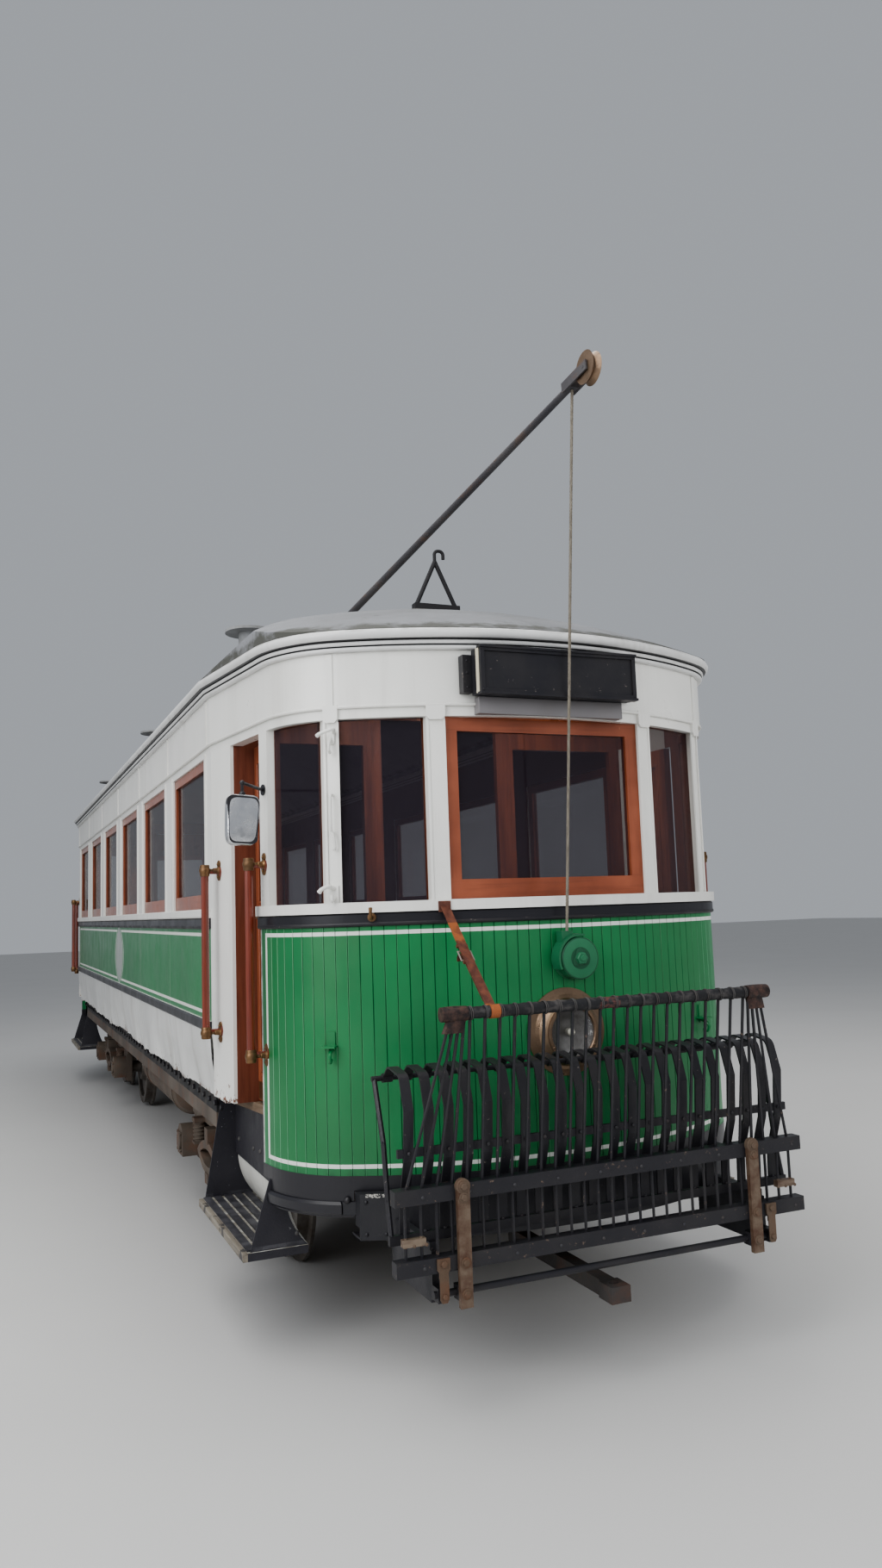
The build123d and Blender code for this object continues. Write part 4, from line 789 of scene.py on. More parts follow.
PAINT = {
    "side_left": wall_finish, "side_right": wall_finish, "cornice": white_enamel, "roof": roof_paint,
    "roof_fittings": roof_fittings_paint, "floor": floor_boards, "seats": cross_wood,
    "window_sashes": sash_timber, "centre_sashes": sash_timber, "saloon_panes": glass,
    # The fender's pivot bars take black paint for their iron, and also as painted shade that hides them in the shadow
    # under the fender.
    "vestibule_panes": glass, "fender_pivot_bars": black_finish, "headlamps": bronze,
    "destination_boxes": black_finish, "rope_retrievers": retriever_paint, "mirrors": black_finish,
    "drawbars": dark_iron, "driver_controls": black_finish, "air_tank": truck_iron,
    "trolley_base": black_finish, "trolley_turntable": black_finish, "trolley_pole": grey_pole,
    "trolley_wheel": bronze, "trolley_rope": rope_fibre, "bulkheads": upright_wood,
    "fender_combs": black_finish,
}
for end, _ in ENDS:
    PAINT[f"dash_{end}"] = dash_finish
    PAINT[f"bogie_{end}"] = truck_iron
    PAINT[f"motors_{end}"] = truck_iron
    for side in ("left", "right"):
        PAINT[f"door_{end}_{side}"] = upright_wood
    for place in ("inner", "outer"):
        PAINT[f"wheelset_{end}_{place}"] = steel


def paint(name, finish):
    """Every slot of a construction piece gets the finish."""
    data = nodes[name].data
    data.materials.clear()
    data.materials.append(finish.material)


for name, finish in PAINT.items():
    paint(name, finish)
print("painted", len(PAINT), "pieces; painted further on:", sorted(set(nodes) - set(PAINT)))

# %% [markdown]
# Many of the pieces that follow run round the body: the cornice, the boards of the dash, the bead
# under the belt. They share one plan: a straight side, a slightly tapered platform side, a tight
# corner and a wide bow. A quarter of it is enough, because the car is the same four times over.
# Each point also carries the direction that faces outwards, so a profile can stand on the path.

# %% The outline of the body as a path
BOW_RADIUS, BOW_CENTRE_Y = 1.789, 3.373
CORNER_RADIUS, CORNER_BEARING, TAPER = 0.448, math.radians(29.3), math.radians(7.85)
CORNER_DIRECTION = np.array([math.sin(CORNER_BEARING), math.cos(CORNER_BEARING)])
corner_centre = CORNER_DIRECTION * (BOW_RADIUS - CORNER_RADIUS) + np.array([0.0, BOW_CENTRE_Y])
taper_end = corner_centre + CORNER_RADIUS * np.array([math.cos(TAPER), math.sin(TAPER)])
KINK = taper_end[1] - (HALF_WIDTH - taper_end[0]) / math.tan(TAPER)
BOW_EDGE = math.pi / 2 - CORNER_BEARING
GLASS_DEPTH = 0.034


def platform_finish():
    """White outside. Behind the glass, told by the depth under the curved outline, varnished timber."""
    finish = Finish("platform_paint", WHITE, 0.32, IOR=1.5, Coat_Weight=0.12, Coat_Roughness=0.12)
    body = enamel_colour(finish, WHITE, 0.30)
    across, along = finish.x.magnitude(), finish.y.magnitude()
    from_bow = distance(across, along - BOW_CENTRE_Y)
    from_corner = distance(across - corner_centre[0], along - corner_centre[1])
    at_corner = across.above(BOW_RADIUS * math.sin(CORNER_BEARING) - 0.015)
    inside = (BOW_RADIUS - from_bow).above(GLASS_DEPTH) * (1.0 - at_corner)
    inside = inside.most((CORNER_RADIUS - from_corner).above(GLASS_DEPTH) * at_corner)
    grain = finish.noise(60, 5, 0.6, (1, 1, 0.06)).rise(0.35, 0.7)
    body = body.coat(inside, finish.mix(grain, (0.27, 0.085, 0.036), (0.16, 0.045, 0.020)))
    return enamel_surface(finish, body, 0.32)


platform_paint = platform_finish()
for end, _ in ENDS:
    paint(f"vestibule_{end}", platform_paint)


def quarter_plan(arc_step=0.035):
    """A quarter of the outline from mid-side to the nose: places, then the direction out of the wall.
    On an arc the place is the centre plus radius times (cos, sin) of the angle, and the direction is
    that same (cos, sin)."""
    places, outward = [], []
    for start, end in (((HALF_WIDTH, 0.0), (HALF_WIDTH, KINK)), ((HALF_WIDTH, KINK), taper_end)):
        start, end = np.asarray(start), np.asarray(end)
        share = np.linspace(0, 1, 2 if end[1] == KINK else 8)[:, None]
        run = unit(end - start)
        places.append(start + (end - start) * share)
        outward.append(np.repeat([[run[1], -run[0]]], len(share), 0))
    for centre, radius, first, last in ((corner_centre, CORNER_RADIUS, TAPER, BOW_EDGE),
                                        (np.array([0, BOW_CENTRE_Y]), BOW_RADIUS, BOW_EDGE, math.pi / 2)):
        angle = np.linspace(first, last, max(3, int((last - first) * radius / arc_step) + 2))
        ring = np.stack([np.cos(angle), np.sin(angle)], -1)
        places.append(centre + radius * ring)
        outward.append(ring)
    places, outward = np.concatenate(places), np.concatenate(outward)
    keep = np.ones(len(places), bool)
    keep[1:] = np.linalg.norm(np.diff(places, axis=0), axis=1) > 1e-6
    return places[keep], outward[keep]


def whole_plan():
    """The quarter mirrored into a closed loop, counter-clockwise seen from above."""
    p, n = quarter_plan()
    signs = ((1, 1, 1), (-1, 1, -1), (-1, -1, 1), (1, -1, -1))
    places = np.concatenate([(p * [sx, sy])[::step][:-1] for sx, sy, step in signs])
    outward = np.concatenate([(n * [sx, sy])[::step][:-1] for sx, sy, step in signs])
    return places, outward


def end_plan(sign, length, spacing):
    """Equal steps along the outline of one end, counted from its nose to both sides."""
    p, n = quarter_plan(0.004)
    p, n = p[::-1] * [1, -1], n[::-1] * [1, -1]
    walked = np.concatenate([[0], np.cumsum(np.linalg.norm(np.diff(p, axis=0), axis=1))])
    along = np.unique(np.round(np.concatenate([spacing, -spacing]), 6))
    along = along[np.abs(along) <= length]
    half = [np.interp(np.abs(along), walked, q) for q in (p[:, 0], p[:, 1], n[:, 0], n[:, 1])]
    half[0], half[2] = half[0] * np.sign(along), half[2] * np.sign(along)
    return along, np.stack(half[:2], -1) * sign, np.stack(half[2:], -1) * sign


def carried(places, outward, profile):
    """A profile carried along a path: place plus the outward direction times the profile's reach."""
    profile = np.asarray(profile, float)
    flat = places[:, None, :] + outward[:, None, :] * profile[None, :, :1]
    height = np.broadcast_to(profile[None, :, 1:], flat.shape[:2] + (1,))
    return np.concatenate([flat, height], -1)


def arc_points(centre, radius, first, last, count):
    """Part of a circle in the profile's plane, in degrees, 0 pointing outwards and 90 up."""
    angle = np.radians(np.linspace(first, last, count))
    return np.stack([centre[0] + radius * np.cos(angle), centre[1] + radius * np.sin(angle)], -1)


loop_places, loop_outward = whole_plan()
print("outline of", len(loop_places), "points, kink at", round(KINK, 3), "m")

# %% [markdown]
# The cornice is planed from solid strips: a small half-round, a hollow, and a large roll that
# throws the rain clear. Its section is three arcs, carried once round the whole body.

# %% Cornice and belt
BELT_HALF = 3.830
DASH_LENGTH = 1.4195
CORNICE_BOTTOM, CORNICE_TOP, CORNICE_BACK = 2.8623, 2.950, -0.058
SMALL_ROLL, LARGE_ROLL = 0.0095, 0.0224
ROLL_GAPS = (0.0205, 0.0425)
cornice_section = np.concatenate([
    [[CORNICE_BACK, CORNICE_BOTTOM], [0.018, CORNICE_BOTTOM]],
    arc_points((0.022, CORNICE_BOTTOM + SMALL_ROLL), SMALL_ROLL, -80, 85, 9),
    [[0.016, CORNICE_BOTTOM + ROLL_GAPS[0]]],
    arc_points((0.029, CORNICE_BOTTOM + 0.0315), SMALL_ROLL, -85, 85, 9),
    [[0.024, CORNICE_BOTTOM + ROLL_GAPS[1]]],
    arc_points((0.042, CORNICE_TOP - 0.0225), LARGE_ROLL, -85, 85, 13),
    [[CORNICE_BACK, CORNICE_TOP]]])


def cornice_paint():
    """White rolls with painted shadow in the two gaps between them."""
    finish = Finish("cornice_paint", WHITE, 0.36, Coat_Weight=0.1, Coat_Roughness=0.2)
    height = finish.z - CORNICE_BOTTOM
    body = finish.mix(finish.noise(2, 4).rise(0.3, 0.7), (0.60, 0.60, 0.59), (0.74, 0.74, 0.73))
    body = body.coat(streaks(finish, 0.45), GRIME)
    # Painted shadow: a dark band at the height of each gap between the rolls.
    gap_shadow = height.near(ROLL_GAPS[0], 0.0022).most(height.near(ROLL_GAPS[1], 0.0026))
    body = body.coat(gap_shadow, (0.035, 0.035, 0.038))
    soot = height.rise(0.070, 0.088) * finish.noise(11, 5, 0.65).rise(0.40, 0.62)
    body = body.coat(soot * 0.75, (0.14, 0.135, 0.12))
    return finish.feed(Base_Color=body).bump(finish.noise(8, 4), 0.0008)


rolls = Shape().grid(carried(loop_places, loop_outward, cornice_section), round_rows=True,
                     round_columns=True, flip=True)
cornice = rolls.piece("cornice_rolls", "car_body", "body_white", cornice_paint())
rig.replaces(cornice, "cornice")
BEAD_REACH, BEAD_Z, BEAD_RADIUS = 0.010, 1.7395, 0.0095
bead_section = arc_points((BEAD_REACH, BEAD_Z), BEAD_RADIUS, -90, 270, 12)[:-1]
bead = Shape()
for side in (-1, 1):
    ends = np.array([[side * HALF_WIDTH, -BELT_HALF], [side * HALF_WIDTH, BELT_HALF]])
    bead.stack(carried(ends, np.array([[side, 0.0], [side, 0.0]]), bead_section)[None], flip=side < 0)
for end, sign in ENDS:
    _, places, outward = end_plan(sign, DASH_LENGTH, np.linspace(0, DASH_LENGTH, 60))
    bead.stack(carried(places, outward, bead_section)[None], flip=True)
bead.piece("belt_bead", "car_body", "black_steel", black_finish)
print("cornice section of", len(cornice_section), "points")

# %% [markdown]
# The dash is tongue-and-groove board, about fifty millimetres to the face, bent round the bow.
# The grooves are real here: along the path the surface drops into a V at each joint. The mesh
# also stores how far each point is from the nose, so the painter's lines and the tone of each
# single board can follow the curve, which plain coordinates could not do.

# %% Boards of the dash
BOARD_PITCH, GROOVE_HALF, GROOVE_DEPTH, BOARD_PROUD = 0.050, 0.0028, 0.0035, 0.0040
BOARD_TUCK, BOARD_MIDDLE = 0.004, 1.2
EDGE_STRIP = 0.013
LINING_WIDTH, LINING_INSET = 0.0165, 0.070
LINING_TOP, LINING_BOTTOM = 1.704, 0.790


def board_finish():
    """Green boards: every board a little different, joints dark or pale, and a white painted line."""
    finish = Finish("dash_boards", GREEN, 0.33, IOR=1.5, Coat_Weight=0.10, Coat_Roughness=0.14)
    chart = finish.node("ShaderNodeUVMap", {"uv_map": "along"})
    apart = finish.node("ShaderNodeSeparateXYZ", {}, {0: Wire(finish, chart.outputs[0])})
    along = Wire(finish, apart.outputs[0])
    index = (along / BOARD_PITCH).apply("FLOOR")
    random_tone = finish.node("ShaderNodeTexWhiteNoise", {"noise_dimensions": "1D"}, {"W": index})
    tone = Wire(finish, random_tone.outputs[0])
    cloud = finish.noise(2.0, 4).rise(0.3, 0.7)
    colour = finish.mix(cloud, shade(GREEN, 0.84), shade(GREEN, 1.12))
    colour = colour.coat(tone * 0.18, shade(GREEN, 0.70))
    colour = colour.coat(streaks(finish, 0.16), (0.03, 0.10, 0.05))
    reach = along.magnitude()
    joint = along.sawtooth(BOARD_PITCH)
    edge = (joint - 0.5).magnitude()
    colour = colour.coat(edge.above(0.470) * 0.62, (0.006, 0.060, 0.024))
    pale_side = reach.rise(0.55, 1.05) * 0.28 + finish.noise(6, 4, 0.6, (1, 1, 0.12))
    worn = edge.between(0.444, 0.470) * pale_side.rise(0.56, 0.70)
    colour = colour.coat(worn * 0.75, (0.20, 0.45, 0.27))
    chips = finish.noise(55, 5, 0.75).above(0.735)
    colour = colour.coat(chips * 0.7, (0.30, 0.36, 0.28))
    line_start = DASH_LENGTH - LINING_INSET
    side_line = reach.between(line_start, line_start + LINING_WIDTH)
    level = finish.z.near(LINING_TOP, LINING_WIDTH / 2).most(
        finish.z.near(LINING_BOTTOM, LINING_WIDTH / 2))
    level = level * reach.below(line_start + LINING_WIDTH)
    upright = side_line * finish.z.between(LINING_BOTTOM, LINING_TOP)
    white = level.most(upright) * (1.0 - edge.above(0.47) * 0.4)
    colour = colour.coat(white, (0.70, 0.72, 0.68))
    strip_wear = finish.noise(20, 5).rise(0.35, 0.65)
    strip = finish.mix(strip_wear, (0.62, 0.63, 0.60), (0.30, 0.31, 0.29))
    colour = colour.coat(reach.above(DASH_LENGTH - EDGE_STRIP), strip)
    low = (LINING_BOTTOM - finish.z).rise(0.0, 0.08) * finish.noise(12, 4, 0.6, (1, 1, 0.1)).rise(0.45, 0.6)
    colour = colour.coat(low * 0.8, (0.015, 0.03, 0.02))
    finish.feed(Base_Color=colour, Roughness=finish.uneven(6, 4, 0.22, 0.26))
    return finish.bump(finish.noise(60, 3, 0.5, (1, 1, 0.1)) * 0.5 + finish.noise(4, 3) * 2.0, 0.0007)


boards_paint = board_finish()


def board_reach(along):
    """How far the face of the boards stands out: level, but for a V at every joint."""
    from_joint = np.abs((along / BOARD_PITCH + 0.5) % 1 - 0.5) * BOARD_PITCH
    return BOARD_PROUD - GROOVE_DEPTH * np.clip(1 - from_joint / GROOVE_HALF, 0, 1)


def dash_boards(end, sign):
    """Columns of points at every joint and between, rows from the belt down to the bottom band."""
    joints = np.arange(0, DASH_LENGTH, BOARD_PITCH)
    shifts = (-GROOVE_HALF, 0.0, GROOVE_HALF, 0.016, 0.034)
    steps = np.concatenate([joints + shift for shift in shifts] + [[DASH_LENGTH]])
    along, places, outward = end_plan(sign, DASH_LENGTH, np.clip(steps, 0, DASH_LENGTH))
    reach = board_reach(along)
    top, bottom = BELT_BOTTOM + BOARD_TUCK, DASH_BAND_TOP - BOARD_TUCK
    levels = np.array([top, top, BOARD_MIDDLE, bottom, bottom])
    tucked = np.full(len(reach), -BOARD_TUCK)
    depth = np.stack([tucked, reach, reach, reach, tucked], -1)
    flat = places[:, None, :] + outward[:, None, :] * depth[..., None]
    grid = np.concatenate([flat, np.broadcast_to(levels[None, :, None], flat.shape[:2] + (1,))], -1)
    boards = Shape().grid(grid, round_columns=True, flip=True)
    piece = boards.piece(f"dash_boards_{end}", "car_body", "body_green", boards_paint, crease=18)
    loops = np.zeros(len(piece.data.loops), int)
    piece.data.loops.foreach_get("vertex_index", loops)
    chart = piece.data.uv_layers.new(name="along")
    across = np.repeat(along, len(levels))
    up = np.tile(levels, len(along))
    chart.data.foreach_set("uv", np.stack([across[loops], up[loops]], -1).astype(np.float32).ravel())
    return piece


for end, sign in ENDS:
    boards = dash_boards(end, sign)
print("boards of the dash:", len(boards.data.polygons), "faces at each end")

# %% [markdown]
# Small turned things come in dozens: rivet heads, bolts, wire turns, balls. Each helper works out
# all of its copies as one array. A rivet is a stack of shrinking rings, a hoop is a ring of rings.

# %% Rivets, hoops and balls
FRONT, BACK = np.array([0, -1.0, 0]), np.array([0, 1.0, 0])
ACROSS, UP = np.array([1.0, 0, 0]), np.array([0, 0, 1.0])


def basis(axis):
    """Two directions square to an axis and to each other."""
    axis = unit(np.asarray(axis, float))
    first = unit(np.cross(UP if abs(axis[2]) < 0.9 else ACROSS, axis))
    return first, np.cross(axis, first), axis


def heads(places, axis, profile, sides=10):
    """Copies of one turned head: profile pairs are radius and height above each place."""
    places = np.atleast_2d(places).astype(float)
    first, second, axis = basis(axis)
    profile = np.asarray(profile, float)
    c, s = circle(sides)
    ring = first * c[:, None] + second * s[:, None]
    head = ring[None] * profile[:, :1, None] + axis * profile[:, 1:, None]
    return places[:, None, None, :] + head[None]


def turned(profile, centre, axis, sides):
    """One larger turned piece as a single grid: its profile runs from the rim to the middle."""
    return heads([centre], axis, profile, sides)[0]


def dome(radius, height, rings=4):
    """A rivet head: radius times cosine and height times sine of a quarter turn."""
    angle = np.linspace(0, math.pi / 2 * 0.94, rings)
    return [(radius, -height * 0.4)] + [(radius * math.cos(a), height * math.sin(a)) for a in angle]


def nut(radius, height):
    """A nut with a small slope round its top."""
    return [(radius, -height * 0.3), (radius, height * 0.85), (radius * 0.82, height)]


def ball(radius, rings=9):
    """A ball's profile along its axis."""
    angle = np.linspace(-math.pi / 2 * 0.97, math.pi / 2 * 0.97, rings)
    return [(radius * math.cos(a), radius * math.sin(a)) for a in angle]


def hoop(centre, axis, radius, wire, sides=22, around=6):
    """A ring of wire: the centre plus radius outwards, and a small circle round that line."""
    first, second, axis = basis(axis)
    c, s = circle(sides)
    out = first * c[:, None] + second * s[:, None]
    cc, ss = circle(around)
    ring = out[:, None] * (radius + wire * cc[None, :, None]) + axis * (wire * ss[None, :, None])
    return np.asarray(centre, float) + ring


def facing_block(place, outward, across, outline, back, front):
    """A flat outline of (across, height) pairs, given a thickness along the outward direction."""
    outline = np.asarray(outline, float)
    face = place + across * outline[:, :1] + UP * outline[:, 1:]
    return np.stack([face + outward * back, face + outward * front])[None]


def plate(x0, x1, y0, y1, z0, z1):
    """A block as one short tube of four sides, so that it joins the same stacks."""
    ring = np.array([[x0, y0], [x1, y0], [x1, y1], [x0, y1]])
    low = np.concatenate([ring, np.full((4, 1), z0)], 1)
    high = np.concatenate([ring, np.full((4, 1), z1)], 1)
    return np.stack([low, high])[None]


pale_iron = bare_iron("pale_iron", (0.24, 0.22, 0.20), 0.25)
dull_wire = bare_iron("dull_wire", (0.070, 0.067, 0.066), 0.1, (0.11, 0.105, 0.10))
rubbed_paint = bare_iron("rubbed_paint", (0.040, 0.040, 0.046), 0.12, (0.07, 0.068, 0.066))
print("small parts ready")

# %% [markdown]
# The fender's top bar is bound with tape, wound on like the grip of a handlebar: the radius rises
# along each turn and drops at the next one. Wire is twisted round it at every rod, and at both
# ends a leather boot gathers the rods that fan out. Everything here rides on the apron, so that it
# folds down with it; only the rivets of the comb stay on the car.

# %% Dressing of the fenders
BAR_Y, BAR_Z, BAR_RADIUS = 5.550, 1.415, 0.020
BEAM_FRONT, UPPER_BEAM, LOWER_BEAM, BEAM_RIVET_DROP = 5.490, 0.786, 0.546, 0.004
ROD_PITCH, ROD_COUNT, FAN_RODS = 0.0604, 29, 4
TAPE_PITCH, TAPE_SIDES, WIRE_TURNS = 0.027, 16, (-0.0028, 0.0006, 0.0038)
BOOT_INNER, BOOT_OUTER, BOOT_SIDES = 0.618, 0.719, 18
LEVER_X, LEVER_HALF, LEVER_THICK, LEVER_FOOT = 0.636, 0.024, 0.020, 0.440
LEVER_BOLTS = (UPPER_BEAM + 0.020, UPPER_BEAM - 0.018, LOWER_BEAM, LEVER_FOOT)
LEVER_END = ((0.0275, 0), (0.0275, 0.0195), (0.0245, 0.0215))
WASHER = ((0.019, -0.001), (0.019, 0.0025), (0.018, 0.003))
CLAMP_X, CLAMP_Z, CLAMP_HALF, CLAMP_BOLTS = 0.772, 0.630, 0.018, (0.784, 0.830)
HANGER_X, HANGER_PROUD, HANGER_BOLTS = 0.716, 0.009, ((0.550, 0.012), (LEVER_FOOT, 0.010))
HANGER_HEAD = ((-0.017, 0.500), (0.017, 0.500), (0.017, 0.520), (0.024, 0.530),
               (0.024, 0.568), (-0.024, 0.568), (-0.024, 0.530), (-0.017, 0.520))
HANGER_TAIL = ((-0.017, 0.430), (-0.010, 0.418), (0.010, 0.418),
               (0.017, 0.430), (0.017, 0.500), (-0.017, 0.500))
COMB_STRAPS, COMB_PITCH, COMB_BARS = 22, 0.078, ((-5.4575, 0.930), (-5.3925, 0.640))


def tape_finish():
    """Black tape gone grey on its edges, with the leather patch at the middle of the bar."""
    finish = Finish("bar_tape", (0.02, 0.02, 0.022), 0.62)
    grey = finish.noise(30, 5, 0.6, (0.6, 1, 1)).rise(0.50, 0.72)
    body = finish.mix(grey * 0.7, (0.016, 0.016, 0.018), (0.11, 0.10, 0.095))
    patch = finish.x.near(-0.030, 0.045) * finish.noise(60, 4).rise(0.45, 0.55)
    body = body.coat(patch, (0.11, 0.045, 0.038))
    return finish.feed(Base_Color=body).bump(finish.noise(160, 4), 0.0008)


def fender_paint():
    """Black rods and beams, but bare rusty levers and cream clamps, told apart by place."""
    finish = Finish("fender_paint", BLACK, 0.42)
    chips = finish.noise(42, 6, 0.7).rise(0.63, 0.67)
    body = finish.mix(finish.noise(4, 4).rise(0.4, 0.8) * 0.35, BLACK, (0.06, 0.055, 0.05))
    body = body.coat(chips * 0.8, (0.17, 0.12, 0.09))
    ahead = finish.y.magnitude().above(BEAM_FRONT + 0.0005)
    level = finish.z.below(UPPER_BEAM + 0.05)
    lever = ahead * level * finish.x.magnitude().near(LEVER_X, LEVER_HALF + 0.002)
    rust_patches = finish.noise(16, 6, 0.65).rise(0.40, 0.62)
    rust = finish.mix(rust_patches, (0.085, 0.045, 0.028), (0.15, 0.11, 0.078))
    body = body.coat(lever, rust)
    clamp = finish.x.magnitude().above(CLAMP_X) * finish.z.between(CLAMP_Z - CLAMP_HALF, CLAMP_Z + CLAMP_HALF)
    grain = finish.noise(40, 5, 0.6, (0.2, 1, 1)).rise(0.4, 0.6)
    timber = finish.mix(grain, (0.20, 0.155, 0.115), (0.085, 0.050, 0.034))
    body = body.coat(clamp, timber)
    return iron_surface(finish, body, 0.34, 120, 14, 0.0008)


def rod_tops():
    """Where the straight rods meet the bar: an even row, without those of the fan."""
    straight = (ROD_COUNT - 1) // 2 - FAN_RODS
    return np.arange(-straight, straight + 1) * ROD_PITCH


def wrapped_bar(end, sign):
    """Tape round the bar, its radius a sawtooth of the place and the turn, and wires at the rods."""
    x = np.arange(-BOOT_INNER - 0.01, BOOT_INNER + 0.012, 0.003)
    c, s = circle(TAPE_SIDES)
    turn = np.arange(TAPE_SIDES) / TAPE_SIDES
    winding = (x[:, None] / TAPE_PITCH + turn[None, :]) % 1
    lumps = 0.0006 * np.sin(x * 47)[:, None] + 0.0004 * np.sin(x * 131 + 1)[:, None]
    radius = BAR_RADIUS + 0.0014 + 0.0011 * winding + lumps
    along = np.repeat(x[:, None], TAPE_SIDES, 1)
    bar = Shape(sign).grid(np.stack([along, -BAR_Y + radius * c, BAR_Z + radius * s], -1), round_columns=True)
    bar.piece(f"bar_tape_{end}", f"apron_{end}", "black_steel", tape_paint, crease=50)
    wires = Shape(sign)
    for i, top in enumerate(rod_tops()):
        for turn_x in WIRE_TURNS:
            lean = (1, 0.10 * math.sin(i * 2.3 + turn_x * 900), 0.06)
            wire = hoop((top + turn_x, -BAR_Y, BAR_Z), lean, BAR_RADIUS + 0.0040, 0.0015)
            wires.grid(wire, round_rows=True, round_columns=True)
    wires.piece(f"bar_wires_{end}", f"apron_{end}", "black_steel", dull_wire)


def boots(end, sign):
    """A sleeve on the bar, and a flattened funnel below it that closes round the fan of rods."""
    shape = Shape(sign)
    c, s = circle(BOOT_SIDES)
    swell = (BAR_RADIUS + 0.0050 + 0.0030 * np.sin(np.linspace(0.4, 2.7, 9)))[:, None]
    share = np.linspace(0, 1, 7)[:, None]
    half_x = 0.040 - 0.002 * share + 0.004 * share ** 2
    half_y = 0.0225 - 0.0075 * share
    for side in (-1, 1):
        along = side * np.linspace(BOOT_INNER, BOOT_OUTER, 9)
        along = np.repeat(along[:, None], BOOT_SIDES, 1)
        sleeve = np.stack([along, -BAR_Y + swell * c, BAR_Z + swell * s], -1)
        shape.stack(sleeve[None], flip=side < 0)
        centre_x, centre_y = side * (0.650 + 0.022 * share), -BAR_Y + 0.010 * share
        height = np.repeat(BAR_Z + 0.004 - 0.072 * share, BOOT_SIDES, 1)
        funnel = np.stack([centre_x + half_x * c, centre_y + half_y * s, height], -1)
        shape.stack(funnel[None], flip=True)
    shape.piece(f"bar_boots_{end}", f"apron_{end}", "strap_leather", boot_leather, crease=60)


def fender_irons(end, sign):
    """Rivets on the beams, nuts and rounded ends on the levers, hooks at the beams' ends."""
    rivets = Shape(sign)
    low = (np.arange(ROD_COUNT) - (ROD_COUNT - 1) / 2)[1::3] * ROD_PITCH
    for beam in (UPPER_BEAM, LOWER_BEAM):
        height = np.full(len(low), beam - BEAM_RIVET_DROP)
        places = np.stack([low, np.full(len(low), -BEAM_FRONT), height], -1)
        rivets.stack(heads(places, FRONT, dome(0.0068, 0.0045)))
    rivets.piece(f"beam_rivets_{end}", f"apron_{end}", "black_steel", rubbed_paint)
    irons = Shape(sign)
    lever_front = -BEAM_FRONT - LEVER_THICK
    for side in (-1, 1):
        x = side * LEVER_X
        irons.stack(heads([(x, -BEAM_FRONT + 0.0005, LEVER_BOLTS[0])], FRONT, LEVER_END, 24))
        bolts = [(x, lever_front, z) for z in LEVER_BOLTS]
        irons.stack(heads(bolts, FRONT, nut(0.013, 0.010), 6))
        irons.stack(heads(bolts, FRONT, WASHER, 16))
        place = np.array([side * HANGER_X, -BEAM_FRONT, 0])
        for outline, back in ((HANGER_HEAD, 0.0005), (HANGER_TAIL, 0.0045)):
            irons.stack(facing_block(place, FRONT, ACROSS, outline, back, HANGER_PROUD), flip=True)
        for z, radius in HANGER_BOLTS:
            bolt = place + FRONT * HANGER_PROUD + UP * z
            irons.stack(heads([bolt], FRONT, nut(radius, 0.009), 6))
        for bolt_x in CLAMP_BOLTS:
            bolt = (side * bolt_x, -BEAM_FRONT - 0.0225, CLAMP_Z)
            irons.stack(heads([bolt], FRONT, dome(0.0065, 0.004)))
    irons.piece(f"lever_irons_{end}", f"apron_{end}", "black_steel", forged_rust, crease=30)


def comb_rivets(end, sign):
    """A domed rivet where every strap crosses the two bars of the comb."""
    straps = (np.arange(COMB_STRAPS) - (COMB_STRAPS - 1) / 2) * COMB_PITCH
    rivets = Shape(sign)
    for y, z in COMB_BARS:
        places = np.stack([straps, np.full(COMB_STRAPS, y), np.full(COMB_STRAPS, z)], -1)
        rivets.stack(heads(places, (0, -1, 0.08), dome(0.0070, 0.0048)))
    rivets.piece(f"comb_rivets_{end}", "car_body", "black_steel", rubbed_paint)


tape_paint = tape_finish()
boot_leather = Finish("boot_leather", (0.04, 0.022, 0.018), 0.6)
scuffed = boot_leather.noise(35, 5, 0.65).rise(0.40, 0.66)
boot_leather.feed(Base_Color=boot_leather.mix(scuffed, (0.018, 0.012, 0.012), (0.085, 0.045, 0.034)))
boot_leather.bump(boot_leather.noise(70, 5) + boot_leather.cells(150) * 0.5, 0.0018)
fender_finish = fender_paint()
for end, sign in ENDS:
    paint(f"fender_apron_{end}", fender_finish)
    wrapped_bar(end, sign)
    boots(end, sign)
    fender_irons(end, sign)
    comb_rivets(end, sign)
print("fenders dressed,", len(rod_tops()), "rods wired to each bar")

# %% [markdown]
# The leather strap is two pieces that meet in a roller buckle. The tail passes under a keeper and
# curls away from it, as stiff old leather does; the curl is an arc whose radius slowly shrinks.
# The buckle and the tail stay with the car, and the doubled end round the bar goes with the apron.

# %% Straps and buckles
BUCKLE = np.array([-0.5075, -5.3205, 1.612])
SILL_END = np.array([-0.505, -5.128, 1.800])
BAR_END = np.array([-0.509, -5.529, 1.429])
STRAP_HALF = 0.019
FRAME_HALF, FRAME_REACH, FRAME_LIFT = 0.0265, 0.024, 0.006
TAIL_LENGTH, TAIL_STEPS, TAIL_CURL = 0.070, 13, 2.6
KEEPERS = (0.034, -0.052)


def ribbon(path, across, half, thickness, facing):
    """A strip with a real thickness: four corners carried along a path."""
    path = np.asarray(path, float)
    facing = np.broadcast_to(facing, path.shape)
    corners = [path + across * half * a + facing * thickness / 2 * b
               for a, b in ((1, -1), (1, 1), (-1, 1), (-1, -1))]
    return np.stack(corners, 1)[None]


